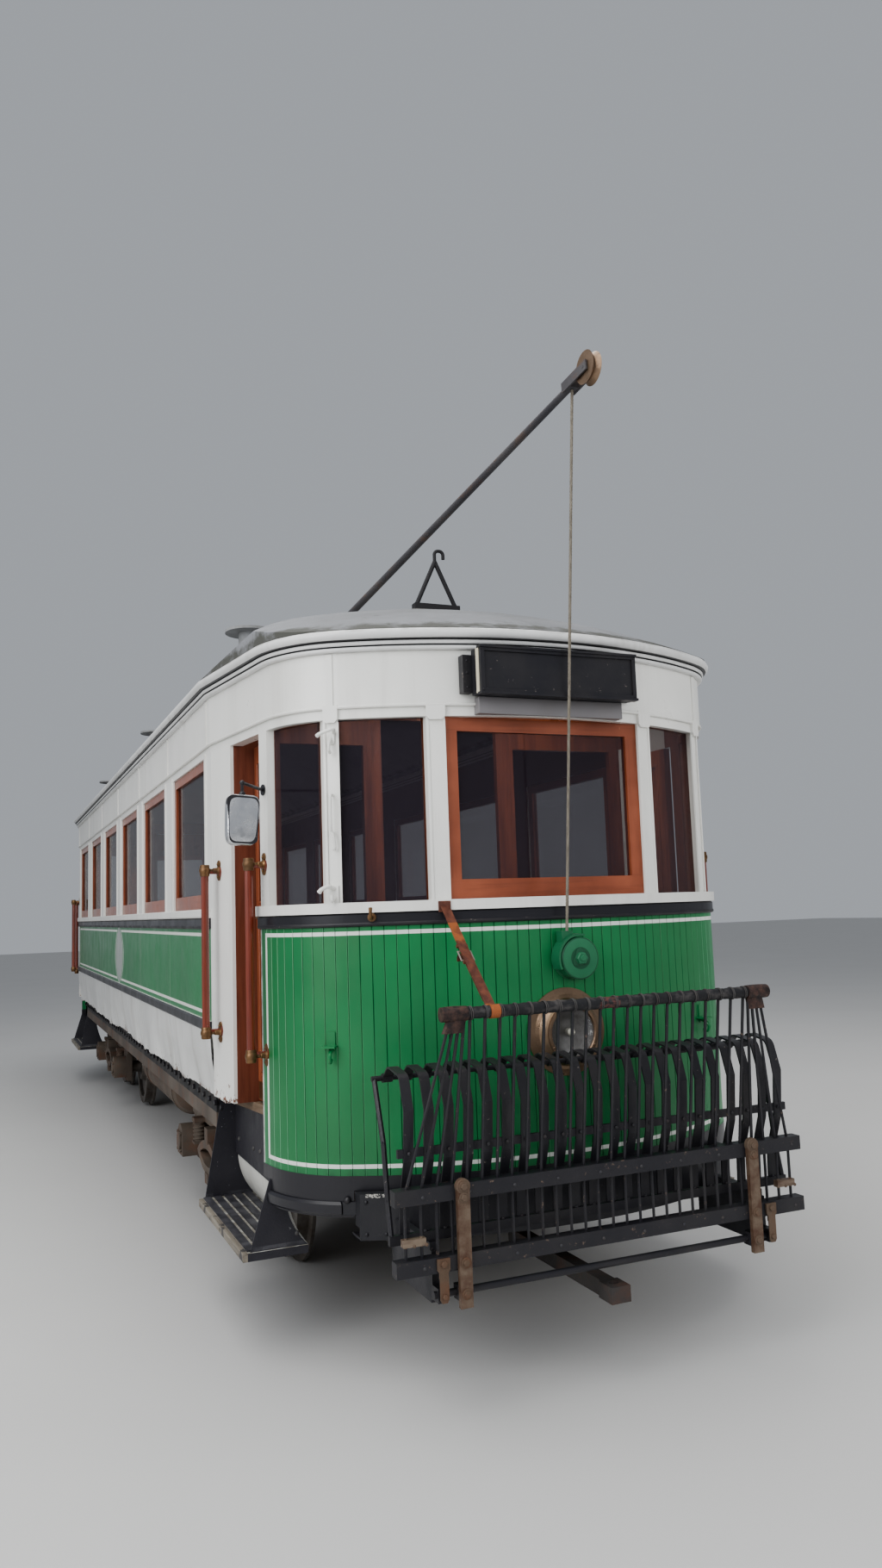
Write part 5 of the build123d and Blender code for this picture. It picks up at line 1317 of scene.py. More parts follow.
def strap_leather_finish():
    """Dark red-brown leather, worn to orange beside the buckle and where it wraps the bar."""
    finish = Finish("strap_leather_worn", (0.16, 0.045, 0.02), 0.5, Coat_Weight=0.1, Coat_Roughness=0.4)
    scuffs = finish.noise(30, 5, 0.65).rise(0.42, 0.66)
    body = finish.mix(scuffs, (0.085, 0.028, 0.018), (0.17, 0.056, 0.030))
    worn = finish.z.between(1.655, 1.735).most(finish.z.below(1.440)) * finish.noise(18, 4).rise(0.38, 0.52)
    body = body.coat(worn, (0.30, 0.095, 0.030))
    finish.feed(Base_Color=body, Roughness=scuffs * 0.25 + 0.40)
    return finish.bump(finish.cells(230) + finish.noise(25, 4) * 2.0, 0.0010)


def buckle(end, sign):
    """A wire frame with balls at its corners, a tongue, the curled tail, two keepers, the doubled end."""
    along, across = unit(BAR_END - SILL_END), ACROSS
    out = unit(np.cross(across, along))
    wire = Shape(sign)
    corners = [BUCKLE + across * FRAME_HALF * a + along * FRAME_REACH * b + out * FRAME_LIFT
               for a, b in ((-1, -1), (1, -1), (1, 1), (-1, 1))]
    for first, second in zip(corners, corners[1:] + corners[:1]):
        wire.stack(rods([first], [second], 0.0032, 8))
    for corner in corners:
        wire.stack(heads([corner], out, ball(0.0034, 5), 8))
    tongue_root = BUCKLE - along * FRAME_REACH + out * 0.007
    tongue_tip = BUCKLE + along * (FRAME_REACH + 0.004) + out * 0.009
    wire.stack(rods([tongue_root], [tongue_tip], 0.0024, 6))
    wire.piece(f"buckle_{end}", "car_body", "black_steel", pale_iron)
    leather = Shape(sign)
    angle = (TAIL_CURL * np.linspace(0, 1, TAIL_STEPS + 1) ** 1.4)[1:, None]
    steps = TAIL_LENGTH / TAIL_STEPS * (-along * np.cos(angle) + out * np.sin(angle))
    tail = BUCKLE + out * 0.008 + np.concatenate([[[0, 0, 0]], np.cumsum(steps, 0)])
    leather.stack(ribbon(tail, across, STRAP_HALF * 0.92, 0.0035, out))
    for shift in KEEPERS:
        centre = BUCKLE + along * shift + out * 0.0045
        keeper = [centre - along * 0.006, centre + along * 0.006]
        leather.stack(ribbon(keeper, across, STRAP_HALF + 0.004, 0.0100, out))
    leather.piece(f"strap_tail_{end}", "car_body", "strap_leather", strap_paint, crease=50)
    doubled = Shape(sign)
    path = BUCKLE + (BAR_END - BUCKLE) * np.linspace(0.08, 0.86, 8)[:, None] + out * 0.0048
    doubled.stack(ribbon(path, across, STRAP_HALF * 0.96, 0.0042, out))
    doubled.piece(f"strap_double_{end}", f"apron_{end}", "strap_leather", strap_paint, crease=50)


strap_paint = strap_leather_finish()
paint("fender_hangers", strap_paint)
for end, sign in ENDS:
    paint(f"fender_strap_{end}", strap_paint)
    buckle(end, sign)
print("straps buckled")

# %% [markdown]
# The rope that pulls the pole down is laid from three strands. Its section is a circle with three
# lobes, and the section turns as it goes down the rope, which is what a lay is. It hangs between
# two bodies, so its points follow the turntable below and the pole above, blended along the way.

# %% Trolley rope
ROPE_TURN = math.radians(0.68)
ROPE_RADIUS, ROPE_LAY = 0.0066, 0.042
ROPE_STEPS, ROPE_SIDES = 560, 15


def swung(p):
    """Turned about Z with the parked pole."""
    c, s = math.cos(ROPE_TURN), math.sin(ROPE_TURN)
    p = np.asarray(p, float)
    return np.stack([p[..., 0] * c - p[..., 1] * s, p[..., 0] * s + p[..., 1] * c, p[..., 2]], -1)


rope_top, rope_low = swung((0, -5.361, 3.9688)), swung((-0.0704, -5.2245, 1.6833))
first, second, along = basis(rope_top - rope_low)
steps = np.linspace(0, 1, ROPE_STEPS)
angle = np.linspace(0, 2 * math.pi, ROPE_SIDES, endpoint=False)
travel = steps * np.linalg.norm(rope_top - rope_low)
lobes = np.abs(np.cos(1.5 * (angle[None, :] - 2 * math.pi * travel[:, None] / ROPE_LAY)))
radius = ROPE_RADIUS * (0.80 + 0.20 * lobes)
ring = first * np.cos(angle)[:, None] + second * np.sin(angle)[:, None]
strand = (rope_low + (rope_top - rope_low) * steps[:, None])[:, None, :] + ring[None] * radius[..., None]
rope = Shape().stack(strand[None]).piece("laid_rope", None, "rope_hemp", rope_fibre, crease=80)
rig.replaces(rope, "trolley_rope")
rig.blend(rope, "turntable", "pole", start=tuple(rope_low), end=tuple(rope_top))
print("rope of", round(float(travel[-1]), 3), "m")

# %% [markdown]
# The white rocker under the green panel is thin sheet, buckled by a century of knocks and ragged
# along its lower edge. It is a skin a few millimetres in front of the construction model: height
# rows by length columns, pushed in and out by a few long waves that grow towards the free edge.

# %% Rocker sheet of the sides
PANEL_END = 3.838
ROCKER_BOTTOM, ROCKER_FOLD, SHEET_THICK = 0.905, 0.12, 0.004
ANGLE_BOTTOM = 0.820
SILL_BOLT_X, SILL_BOLT_Z, SILL_BOLT_PITCH = 1.1355, 0.868, 0.15


def waves(y, z, side):
    """Sums of sines with lengths that share no common multiple look like chance dents."""
    return (np.sin(2.1 * y + 1.3 * side) * 0.5 + np.sin(5.3 * y + 4 * z + 0.7) * 0.32
            + np.sin(11.9 * y - 7 * z + side) * 0.16 + np.sin(23.0 * y + 17 * z) * 0.07)


def rocker_sheet(side):
    """Straight down at first, then leaning in below the fold, with a crease at every joint."""
    y, share = np.linspace(-PANEL_END, PANEL_END, 360), np.linspace(0, 1, 26)
    yy, ss = np.meshgrid(y, share, indexing="ij")
    ragged = 0.010 * np.sin(3.7 * yy + side) + 0.006 * np.sin(17 * yy) + 0.003 * np.sin(61 * yy + 2)
    height = LOW_MOULD_BOTTOM + 0.004 - (LOW_MOULD_BOTTOM - ROCKER_BOTTOM - 0.006 + ragged) * ss
    fall = LOW_MOULD_BOTTOM - height
    sheet_in = np.where(fall < ROCKER_FOLD, fall * 0.1, ROCKER_FOLD * 0.1 + (fall - ROCKER_FOLD) * 0.205)
    joint = np.abs((yy / PILLAR_PITCH + 0.5) % 1 - 0.5) * PILLAR_PITCH
    crease = 0.007 * np.exp(-(joint / 0.012) ** 2) * (0.3 + ss)
    buckled = (waves(yy, height, side) * 0.030 + 0.016) * ss ** 1.2
    x = HALF_WIDTH - sheet_in + 0.010 + buckled - crease
    outer = np.stack([side * x, yy, height], -1)
    inner = outer[:, ::-1] - np.array([side * SHEET_THICK, 0, 0])
    sheet = Shape().grid(np.concatenate([outer, inner], 1), round_columns=True, flip=side > 0)
    name = f"rocker_sheet_{'left' if side < 0 else 'right'}"
    return sheet.piece(name, "car_body", "body_white", rocker_paint, crease=60)


def rocker_finish():
    """White, stained under the moulding, flaked to rusty steel along the lower edge."""
    finish = Finish("rocker_sheet_paint", WHITE, 0.30, Coat_Weight=0.25, Coat_Roughness=0.15)
    cloud = finish.noise(1.6, 5).rise(0.3, 0.7)
    body = finish.mix(cloud, (0.62, 0.62, 0.60), (0.76, 0.76, 0.74))
    runs = finish.noise(7, 5, 0.65, (1, 1, 0.08)).rise(0.54, 0.74)
    body = body.coat(runs * 0.42, (0.30, 0.27, 0.22))
    low = (1.02 - finish.z).rise(0.0, 0.14)
    flakes = (finish.noise(24, 6, 0.7) + low * 0.22).rise(0.735, 0.755)
    body = body.coat(flakes, (0.13, 0.06, 0.03))
    joint = (finish.y / PILLAR_PITCH + 0.5).apply("FRACT") - 0.5
    body = body.coat(joint.magnitude().below(0.0022) * 0.55, (0.25, 0.24, 0.22))
    edge = (ROCKER_BOTTOM + 0.020 - finish.z).rise(0.0, 0.03) * finish.noise(16, 5).rise(0.42, 0.55)
    body = body.coat(edge, (0.09, 0.045, 0.025))
    return finish.feed(Base_Color=body).bump(finish.noise(5, 4) * 3.0 + flakes * -0.6, 0.0012)


def underframe_paint():
    """Brown road dust below; the angle right under the sheet is black and worn grey."""
    finish = Finish("underframe_paint", (0.085, 0.066, 0.052), 0.72)
    patches = finish.noise(7, 6, 0.6).rise(0.48, 0.66) * 0.5
    body = finish.mix(patches, (0.080, 0.064, 0.052), RUST)
    body = body.coat(finish.noise(2.5, 4).rise(0.4, 0.7) * 0.6, (0.17, 0.145, 0.12))
    angle = finish.z.above(ANGLE_BOTTOM) * finish.x.magnitude().above(1.05)
    black = finish.mix(finish.noise(9, 5).rise(0.45, 0.75), (0.018, 0.018, 0.020), (0.075, 0.065, 0.058))
    body = body.coat(angle, black)
    return finish.feed(Base_Color=body).bump(finish.noise(90, 5), 0.0012)


rocker_paint = rocker_finish()
paint("underframe", underframe_paint())
bolts = Shape()
bolt_ys = np.arange(-3.75, 3.76, SILL_BOLT_PITCH)
for side in (-1, 1):
    rocker_sheet(side)
    level = np.full(len(bolt_ys), SILL_BOLT_Z)
    places = np.stack([np.full(len(bolt_ys), side * SILL_BOLT_X), bolt_ys, level], -1)
    bolts.stack(heads(places, (side, 0, 0), nut(0.014, 0.012), 4))
bolts.piece("sill_bolts", "car_body", "truck_steel", black_finish, crease=30)
print("rocker sheets and", 2 * len(bolt_ys), "bolts of the side sills")

# %% [markdown]
# Joinery on the white upper body: battens over the pillars, a rounded lip where the letterboard
# overhangs the window heads, cast post heads with their corners cut off, and the guide strips
# in front of each sash. The ones on the bow are short blocks turned to face outwards.

# %% Battens, lip, post heads and strips
LETTERBOARD_BOTTOM, LETTERBOARD_TOP, PANE_HEAD = 2.629, 2.862, 2.585
LETTER_PROUD = 0.008
WINDOW_YS = (np.arange(6) - 2.5) * PILLAR_PITCH
WINDOW_HALF = 0.506
OUTER_POST, INNER_POST = (0.905, 0.031), (0.5055, 0.040)
POST_HEAD_LOW, POST_HEAD_HIGH, POST_HEAD_CUT = 2.570, 2.642, 0.014
GUIDE_TOP = 2.572


def bow_frame(x):
    """A place on the bow of end a, the direction out of it and the direction along it."""
    depth = math.sqrt(BOW_RADIUS ** 2 - x * x)
    outward = np.array([x, -depth, 0]) / BOW_RADIUS
    return np.array([x, -BOW_CENTRE_Y - depth, 0]), outward, np.array([-outward[1], outward[0], 0])


def wall_frame(side, y):
    """The same three for a place on the straight side of the saloon."""
    return np.array([side * HALF_WIDTH, y, 0]), np.array([side, 0, 0]), np.array([0, side, 0])


def strip_outline(half, low, high, cut=0.0):
    """An upright strip; with a cut, its two lower corners are taken off."""
    if not cut:
        return [(-half, low), (half, low), (half, high), (-half, high)]
    return [(-half + cut, low), (half - cut, low), (half, low + cut),
            (half, high), (-half, high), (-half, low + cut)]


lip_section = arc_points((LETTER_PROUD - 0.001, LETTERBOARD_BOTTOM + 0.004), 0.0075, -90, 270, 10)[:-1]
lip = Shape().grid(carried(loop_places, loop_outward, lip_section), round_rows=True, round_columns=True,
                   flip=True)
lip.piece("letterboard_lip", "car_body", "body_white", white_enamel)
# The plinth under the sign box is painted dark grey as the shadow that the box casts on it.
plinth_shadow_grey = enamel("plinth_shadow_grey", (0.21, 0.20, 0.205), 0.4, streak=0.4)
post_guide = strip_outline(0.0055, SILL_TOP, GUIDE_TOP)
post_batten = strip_outline(0.014, LETTERBOARD_BOTTOM + 0.010, LETTERBOARD_TOP - 0.004)
joinery = Shape()
for end, sign in ENDS:
    joinery.sign = sign
    for side in (-1, 1):
        for x, half in (OUTER_POST, INNER_POST):
            head = strip_outline(half, POST_HEAD_LOW, POST_HEAD_HIGH, POST_HEAD_CUT)
            joinery.stack(facing_block(*bow_frame(side * x), head, -0.004, 0.0135), flip=True)
            for edge in (-1, 1):
                guide_x = side * (x + edge * (half - 0.007))
                joinery.stack(facing_block(*bow_frame(guide_x), post_guide, -0.004, 0.0035), flip=True)
        joinery.stack(facing_block(*bow_frame(side * OUTER_POST[0]), post_batten, 0.004, 0.0125), flip=True)
    plinth = Shape(sign).stack(plate(-0.345, 0.345, -5.1775, -5.100, 2.588, 2.6595))
    plinth.piece(f"sign_plinth_{end}", "car_body", "body_white", plinth_shadow_grey, bevel=0.002)
batten = strip_outline(0.015, LETTERBOARD_BOTTOM + 0.008, LETTERBOARD_TOP - 0.004)
jamb_strip = strip_outline(0.011, SILL_TOP, PANE_HEAD + 0.02)
sash_guide = strip_outline(0.008, SILL_TOP, PANE_HEAD)
joinery.sign = 1
for side in (-1, 1):
    for y in np.clip(np.arange(-3, 4) * PILLAR_PITCH, -3.80, 3.80):
        joinery.stack(facing_block(*wall_frame(side, y), batten, 0.004, 0.0125), flip=True)
    for y in WINDOW_YS:
        for edge in (-1, 1):
            jamb, guide = (wall_frame(side, y + edge * (WINDOW_HALF + d)) for d in (0.012, -0.008))
            joinery.stack(facing_block(*jamb, jamb_strip, -0.004, 0.0065), flip=True)
            joinery.stack(facing_block(*guide, sash_guide, -0.011, -0.001), flip=True)
joinery.piece("battens_and_strips", "car_body", "body_white", white_enamel, smooth=False)
print("joinery in place")

# %% [markdown]
# Hand rails: a turned brass ball closes each end of the wooden rail, a stem ties it to the body,
# and a lobed rosette holds the stem. All eight rails take the same parts from one short table,
# which gives the place along the car and the lower and upper end of the rail.

# %% Brass of the hand rails
RAILS = ((3.985, 1.250, 2.010), (4.560, 1.200, 2.010))
RAIL_STAND, RAIL_INSET, LOBE_SHIFT = 0.070, 0.002, 0.030
COLLAR = ((0.0205, -0.027), (0.0225, -0.022), (0.0225, 0.022), (0.0205, 0.027))
ROSETTE = ((0.022, 0), (0.021, 0.006), (0.013, 0.012), (0.012, 0.030), (0.010, 0.032))
LOBE = ((0.0185, 0), (0.0175, 0.005), (0.012, 0.008), (0.003, 0.009))


def wall_x(y):
    """Half-width of the body at a place along the platform."""
    return HALF_WIDTH - max(0.0, y - KINK) * math.tan(TAPER)


def rail_brass(shape, side, y, z):
    """Ball, collar, stem and rosette at one end of a rail."""
    square = y < KINK
    outward = np.array([side, 0, 0]) if square else np.array([side * math.cos(TAPER), -math.sin(TAPER), 0])
    ball_place = np.array([side * (wall_x(y) + RAIL_STAND), -y, z])
    root = np.array([side * (wall_x(y) + 0.001), -y, z])
    shape.stack(heads([ball_place], UP, ball(0.0265, 11), 18))
    shape.stack(heads([ball_place], UP, COLLAR, 18))
    shape.stack(rods([ball_place], [root], 0.0088, 10))
    shape.stack(heads([root], outward, ROSETTE, 18))
    for lobe in (-1, 1):
        place = root + UP * lobe * LOBE_SHIFT
        shape.stack(heads([place], outward, LOBE, 16))
        shape.stack(heads([place], outward, dome(0.0065, 0.014), 8))


brasses = Shape()
for end, sign in ENDS:
    brasses.sign = sign
    for side in (-1, 1):
        for y, low, high in RAILS:
            rail_brass(brasses, side, y, low + RAIL_INSET)
            rail_brass(brasses, side, y, high - RAIL_INSET)
brasses.piece("rail_brasses", "car_body", "lamp_bronze", brass, crease=40)
paint("grab_rails", varnished("rail_wood", (0.150, 0.021, 0.008), coat=0.9))
print("brass on", 2 * 2 * len(RAILS), "rails")

# %% [markdown]
# A door leaf has a moulding round its sunk panel, a pale bead round the glass, a brass lever, and
# a worn plate at the foot. Each moulding is four strips laid round an opening, on both faces of the
# leaf. They ride on the leaf's own body, so they swing in with it.

# %% Doors
DOOR_REAR_Y, DOOR_FRONT_Y, DOORWAY_FRONT = 4.150, 4.504, 4.512
DOOR_FACE, DOOR_THICK = wall_x(DOORWAY_FRONT) - 0.062, 0.036
DOOR_FRAMES = ((0.004, 1.084, 1.734, 0.014, 0.007), (0.006, 1.854, 2.489, 0.012, 0.005))
HANDLE_Y, HANDLE_Z, HANDLE_STAND = 4.468, 1.785, 0.040
HANDLE_PATH = ((4.470, 0.0), (4.440, 0.003), (4.400, 0.004), (4.352, -0.004))
HANDLE_ROSE = ((0.024, 0), (0.023, 0.004), (0.011, 0.008), (0.010, 0.045), (0.006, 0.048))
KICK_PLATE = (-4.490, -4.172, 0.962, 1.040)
LEAF_NAMES = (("left", -1), ("right", 1))


def frame_strips(x, side, y0, y1, z0, z1, width, proud):
    """Four strips round an opening on a leaf's face, standing a little proud."""
    boxes = ((y0 - width, y1 + width, z1, z1 + width), (y0 - width, y1 + width, z0 - width, z0),
             (y0 - width, y0, z0, z1), (y1, y1 + width, z0, z1))
    return [plate(*sorted((x - side * 0.002, x + side * proud)), *box) for box in boxes]


def door_trim(end, sign, side_name, side):
    """Mouldings on both faces, then the lever on its rose and the kick plate outside."""
    body = f"door_{end}_{side_name}"
    y0, y1 = -DOOR_FRONT_Y + 0.070, -DOOR_REAR_Y - 0.078
    trim = Shape(sign)
    for x, out in ((side * DOOR_FACE, side), (side * (DOOR_FACE - DOOR_THICK), -side)):
        for inset, low, high, width, proud in DOOR_FRAMES:
            for block in frame_strips(x, out, y0 + inset, y1 - inset, low, high, width, proud):
                trim.stack(block)
    trim.piece(f"{body}_mouldings", body, "varnished_wood", upright_wood, bevel=0.002)
    metalwork = Shape(sign)
    lever = [(side * (DOOR_FACE + HANDLE_STAND), -y, HANDLE_Z + rise) for y, rise in HANDLE_PATH]
    metalwork.stack(swept(lever, [0.010, 0.009, 0.008, 0.010], 10, UP))
    rose_place = (side * DOOR_FACE, -HANDLE_Y, HANDLE_Z)
    metalwork.stack(heads([rose_place], (side, 0, 0), HANDLE_ROSE, 18))
    x0, x1 = sorted((side * (DOOR_FACE - 0.001), side * (DOOR_FACE + 0.0025)))
    metalwork.stack(plate(x0, x1, *KICK_PLATE))
    metalwork.piece(f"{body}_brass", body, "lamp_bronze", brass, crease=40)


for end, sign in ENDS:
    for side_name, side in LEAF_NAMES:
        door_trim(end, sign, side_name, side * sign)
print("doors trimmed")

# %% [markdown]
# The mirror's back is a chromed shell: rings of a rounded square that shrink as they come forward.
# The glass is a darker metal, a painted dark reflection, set just inside the rear rim, and two balls make the joint
# above.

# %% Mirrors
MIRROR_CENTRE = np.array([-1.2545, -4.811, 2.1775])
MIRROR_TILT = math.radians(-3.5)
MIRROR_HALF = (0.0660, 0.1035)
SHELL_SHARE = (1.0, 1.0, 0.985, 0.955, 0.90, 0.70, 0.40, 0.10)
SHELL_AHEAD = (-0.036, 0.004, 0.010, 0.0135, 0.0145, 0.0175, 0.0205, 0.0215)
GLASS_SHARE = (0.94, 0.9024, 0.47, 0.0188)
GLASS_AHEAD = (-0.0370, -0.0372, -0.0372, -0.0372)
MIRROR_JOINT = ((2.283, 0.013), (2.330, 0.0105))


def rounded_ring(half_x, half_z, power=5.0, count=40):
    """A square with generous corners: each coordinate is a power of the cosine or sine, sign kept."""
    c, s = circle(count)
    x = half_x * np.sign(c) * np.abs(c) ** (2 / power)
    z = half_z * np.sign(s) * np.abs(s) ** (2 / power)
    x = x * (1 + 0.07 * z / half_z)
    tilt_c, tilt_s = math.cos(MIRROR_TILT), math.sin(MIRROR_TILT)
    return np.stack([x * tilt_c - z * tilt_s, np.zeros(count), x * tilt_s + z * tilt_c], -1)


def mirror_rings(share, ahead):
    """The rounded square shrunk to each share and moved so far ahead of the mirror's centre."""
    share, ahead = np.array(share)[:, None, None], np.array(ahead)[:, None, None]
    return MIRROR_CENTRE + rounded_ring(*MIRROR_HALF)[None] * share + FRONT * ahead


def mirror_dressing(end, sign):
    """Shell, glass and joint of the one mirror at each end."""
    shell = Shape(sign).stack(mirror_rings(SHELL_SHARE, SHELL_AHEAD)[None])
    shell.piece(f"mirror_shell_{end}", "car_body", "mirror_black", chrome, crease=70)
    face = Shape(sign).grid(mirror_rings(GLASS_SHARE, GLASS_AHEAD), round_columns=True)
    face.piece(f"mirror_glass_{end}", "car_body", "mirror_black", mirror_dark_reflection)
    joint = Shape(sign)
    for z, radius in MIRROR_JOINT:
        joint.stack(heads([(-1.255, -4.810, z)], UP, ball(radius), 14))
    joint.piece(f"mirror_joint_{end}", "car_body", "mirror_black", black_finish)


for end, sign in ENDS:
    mirror_dressing(end, sign)
print("mirrors dressed")

# %% [markdown]
# Castings screwed to the dash and posts. A hook is a bar swept along a path of a few points that a
# spline rounds off; its radius may change along the way, so a cast arm can taper to its tip. Each
# point in the tables says how far it stands out from the bow, how high it is, and how far it is
# moved along the bow; the numbers after the points are the radii along the bar.

# %% Hooks, brackets and handles
POST_X, HOOK_X, HOOK_Z = -0.906, -0.770, 1.766
POST_PLATES = ((2.510, -0.030, 0.026, 0.017), (1.868, -0.048, 0.030, 0.021))
POST_BARS = (
    (((0.006, 2.530, 0.014), (0.052, 2.536, 0.020), (0.060, 2.520, -0.030), (0.050, 2.512, -0.046)),
     (0.008, 0.0075, 0.007, 0.009), UP),
    (((0.010, 2.505, 0), (0.036, 2.480, 0), (0.038, 2.452, 0), (0.018, 2.444, 0)),
     (0.008, 0.007, 0.006, 0.0065), ACROSS),
    (((0.004, 2.272, 0), (0.030, 2.262, 0), (0.034, 2.200, 0), (0.030, 2.130, 0), (0.004, 2.112, 0)),
     (0.0058,), ACROSS),
    (((0.022, 2.120, 0), (0.030, 2.090, 0.010), (0.024, 2.052, 0.014), (0.010, 2.045, 0.004)),
     (0.006, 0.006, 0.0055, 0.005), ACROSS),
    (((0.010, 1.886, 0), (0.042, 1.894, -0.014), (0.058, 1.886, -0.036), (0.056, 1.872, -0.050)),
     (0.010, 0.009, 0.008, 0.010), UP),
    (((0.008, 1.850, 0), (0.040, 1.838, 0), (0.044, 1.862, 0)), (0.009, 0.008, 0.007), ACROSS))
BRACKET_XS, BRACKET_Z = (-0.925, 0.80), 1.265
BRACKET_BAR = ((0.012, BRACKET_Z - 0.012, 0), (0.046, BRACKET_Z - 0.038, 0),
               (0.040, BRACKET_Z - 0.066, 0), (0.018, BRACKET_Z - 0.058, 0))
BRACKET_LEDGE = ((-0.036, BRACKET_Z - 0.010), (0.022, BRACKET_Z - 0.010),
                 (0.022, BRACKET_Z - 0.003), (-0.036, BRACKET_Z - 0.003))
HOOK_BAR = ((0.014, 1.768, 0), (0.052, 1.762, 0), (0.066, 1.780, 0), (0.060, 1.804, 0))
HOOK_ROSE = ((0.0185, 0), (0.0175, 0.004), (0.010, 0.007))


def smoothed(points, count=24):
    """A path through the given points with its corners rounded: a spline of four neighbours each."""
    p = np.asarray(points, float)
    p = np.concatenate([2 * p[:1] - p[1:2], p, 2 * p[-1:] - p[-2:-1]])
    out = []
    for a, b, c, d in zip(p[:-3], p[1:-2], p[2:-1], p[3:]):
        t = np.linspace(0, 1, max(3, count // (len(p) - 3)), endpoint=False)[:, None]
        out.append(0.5 * (2 * b + (c - a) * t + (2 * a - 5 * b + 4 * c - d) * t ** 2
                          + (3 * b - a - 3 * c + d) * t ** 3))
    return np.concatenate(out + [p[-2:-1]])


def curved_bar(x, points, radii, hint=ACROSS):
    """A bar in front of the bow at x, swept along the smoothed points with radii spread evenly."""
    place, outward, across = bow_frame(x)
    path = smoothed([place + outward * stand + across * shift + UP * z for stand, z, shift in points])
    taper = np.interp(np.linspace(0, 1, len(path)), np.linspace(0, 1, len(radii)), radii)
    return swept(path, taper, 10, hint)


def castings(end, sign):
    """White hooks and a handle on the left post, green lamp brackets, and a brass hook on the dash."""
    white = Shape(sign)
    for z, low, high, half in POST_PLATES:
        block = strip_outline(half, z + low, z + high, 0.007)
        white.stack(facing_block(*bow_frame(POST_X), block, -0.002, 0.010), flip=True)
    for points, radii, hint in POST_BARS:
        white.stack(curved_bar(POST_X, points, radii, hint))
    white.piece(f"post_castings_{end}", "car_body", "body_white", white_enamel)
    green = Shape(sign)
    for x in BRACKET_XS:
        block = strip_outline(0.014, BRACKET_Z - 0.028, BRACKET_Z + 0.050, 0.008)
        green.stack(facing_block(*bow_frame(x), block, 0.000, 0.0095), flip=True)
        green.stack(facing_block(*bow_frame(x), BRACKET_LEDGE, 0.004, 0.056), flip=True)
        green.stack(curved_bar(x, BRACKET_BAR, (0.009, 0.008, 0.0065, 0.006)))
    green.piece(f"lamp_brackets_{end}", "car_body", "body_green", green_enamel)
    hook = Shape(sign).stack(curved_bar(HOOK_X, HOOK_BAR, (0.0075, 0.007, 0.006, 0.008)))
    place, outward, _ = bow_frame(HOOK_X)
    hook.stack(heads([place + outward * 0.016 + UP * HOOK_Z], outward, HOOK_ROSE, 16))
    hook.piece(f"dash_hook_{end}", "car_body", "lamp_bronze", brass)


for end, sign in ENDS:
    castings(end, sign)
print("castings in place")

# %% [markdown]
# Headlamp, retriever and sign box. The lamp's well is a cone of tarnished silver round a small
# bulb, behind an old lens that bulges a little. The sign box keeps its frame and its blank plate.
# The turned ones are written as profiles: pairs of a radius and a distance in front of the dash.

# %% Lamp, retriever and sign box
NOSE_Y = BOW_CENTRE_Y + BOW_RADIUS
LAMP_Z = 1.272
LAMP_WELL = ((0.0985, 0.058), (0.094, 0.055), (0.070, 0.036), (0.040, 0.0262), (0.018, 0.0235),
             (0.004, 0.023))
LAMP_RING = ((0.1155, 0.0615), (0.1165, 0.0665), (0.1100, 0.0690), (0.1020, 0.0675), (0.0985, 0.0620),
             (0.1000, 0.0585))
LAMP_LENS = ((0.0985, 0.0600), (0.080, 0.0660), (0.050, 0.0710), (0.020, 0.0730), (0.002, 0.0732))
FLANGE_SCREWS = (0.1675, 0.0108, (45, 135, 225, 315))
RING_SCREWS = (0.1085, 0.0685, (90, 210, 330))
RETRIEVER_X, RETRIEVER_Z, RETRIEVER_DEPTH = 0.040, 1.570, 0.075
RETRIEVER_COVER = ((0.0845, 0.014), (0.0870, 0.010), (0.0870, -0.001), (0.0840, -0.0045),
                   (0.0780, -0.0062), (0.0400, -0.0070), (0.0020, -0.0072))
RETRIEVER_NUT = ((0.0250, 0), (0.0250, 0.013), (0.0215, 0.0155))
RETRIEVER_PIN = ((0.0125, 0.010), (0.0125, 0.0195), (0.0100, 0.0210))
GUARD = ((0.092, 0.060), (0.101, 0.060), (0.101, -0.006), (0.092, -0.006))
GUARD_STEPS = 16
SIGN_HALF, SIGN_LOW, SIGN_HIGH, SIGN_DEPTH = 0.370, 2.660, 2.851, 0.092
SIGN_BOLTS = (SIGN_LOW + 0.035, (SIGN_LOW + SIGN_HIGH) / 2, SIGN_HIGH - 0.045)
lamp_silver = metal("lamp_well", (0.30, 0.29, 0.28), 0.32, (0.07, 0.06, 0.055))
lens_glass = Finish("lamp_lens", (0.75, 0.77, 0.76), 0.08, IOR=1.5, Transmission_Weight=1.0, Alpha=0.35)
bulb_glass = Finish("bulb_glass", (0.75, 0.72, 0.62), 0.15, Alpha=0.8)


def screws(centre, radius, ahead, degrees):
    """Places round a circle that faces the front: radius times cosine across and sine up."""
    angle = np.radians(degrees)
    depth = np.full(len(angle), -ahead)
    return centre + np.stack([radius * np.cos(angle), depth, radius * np.sin(angle)], -1)


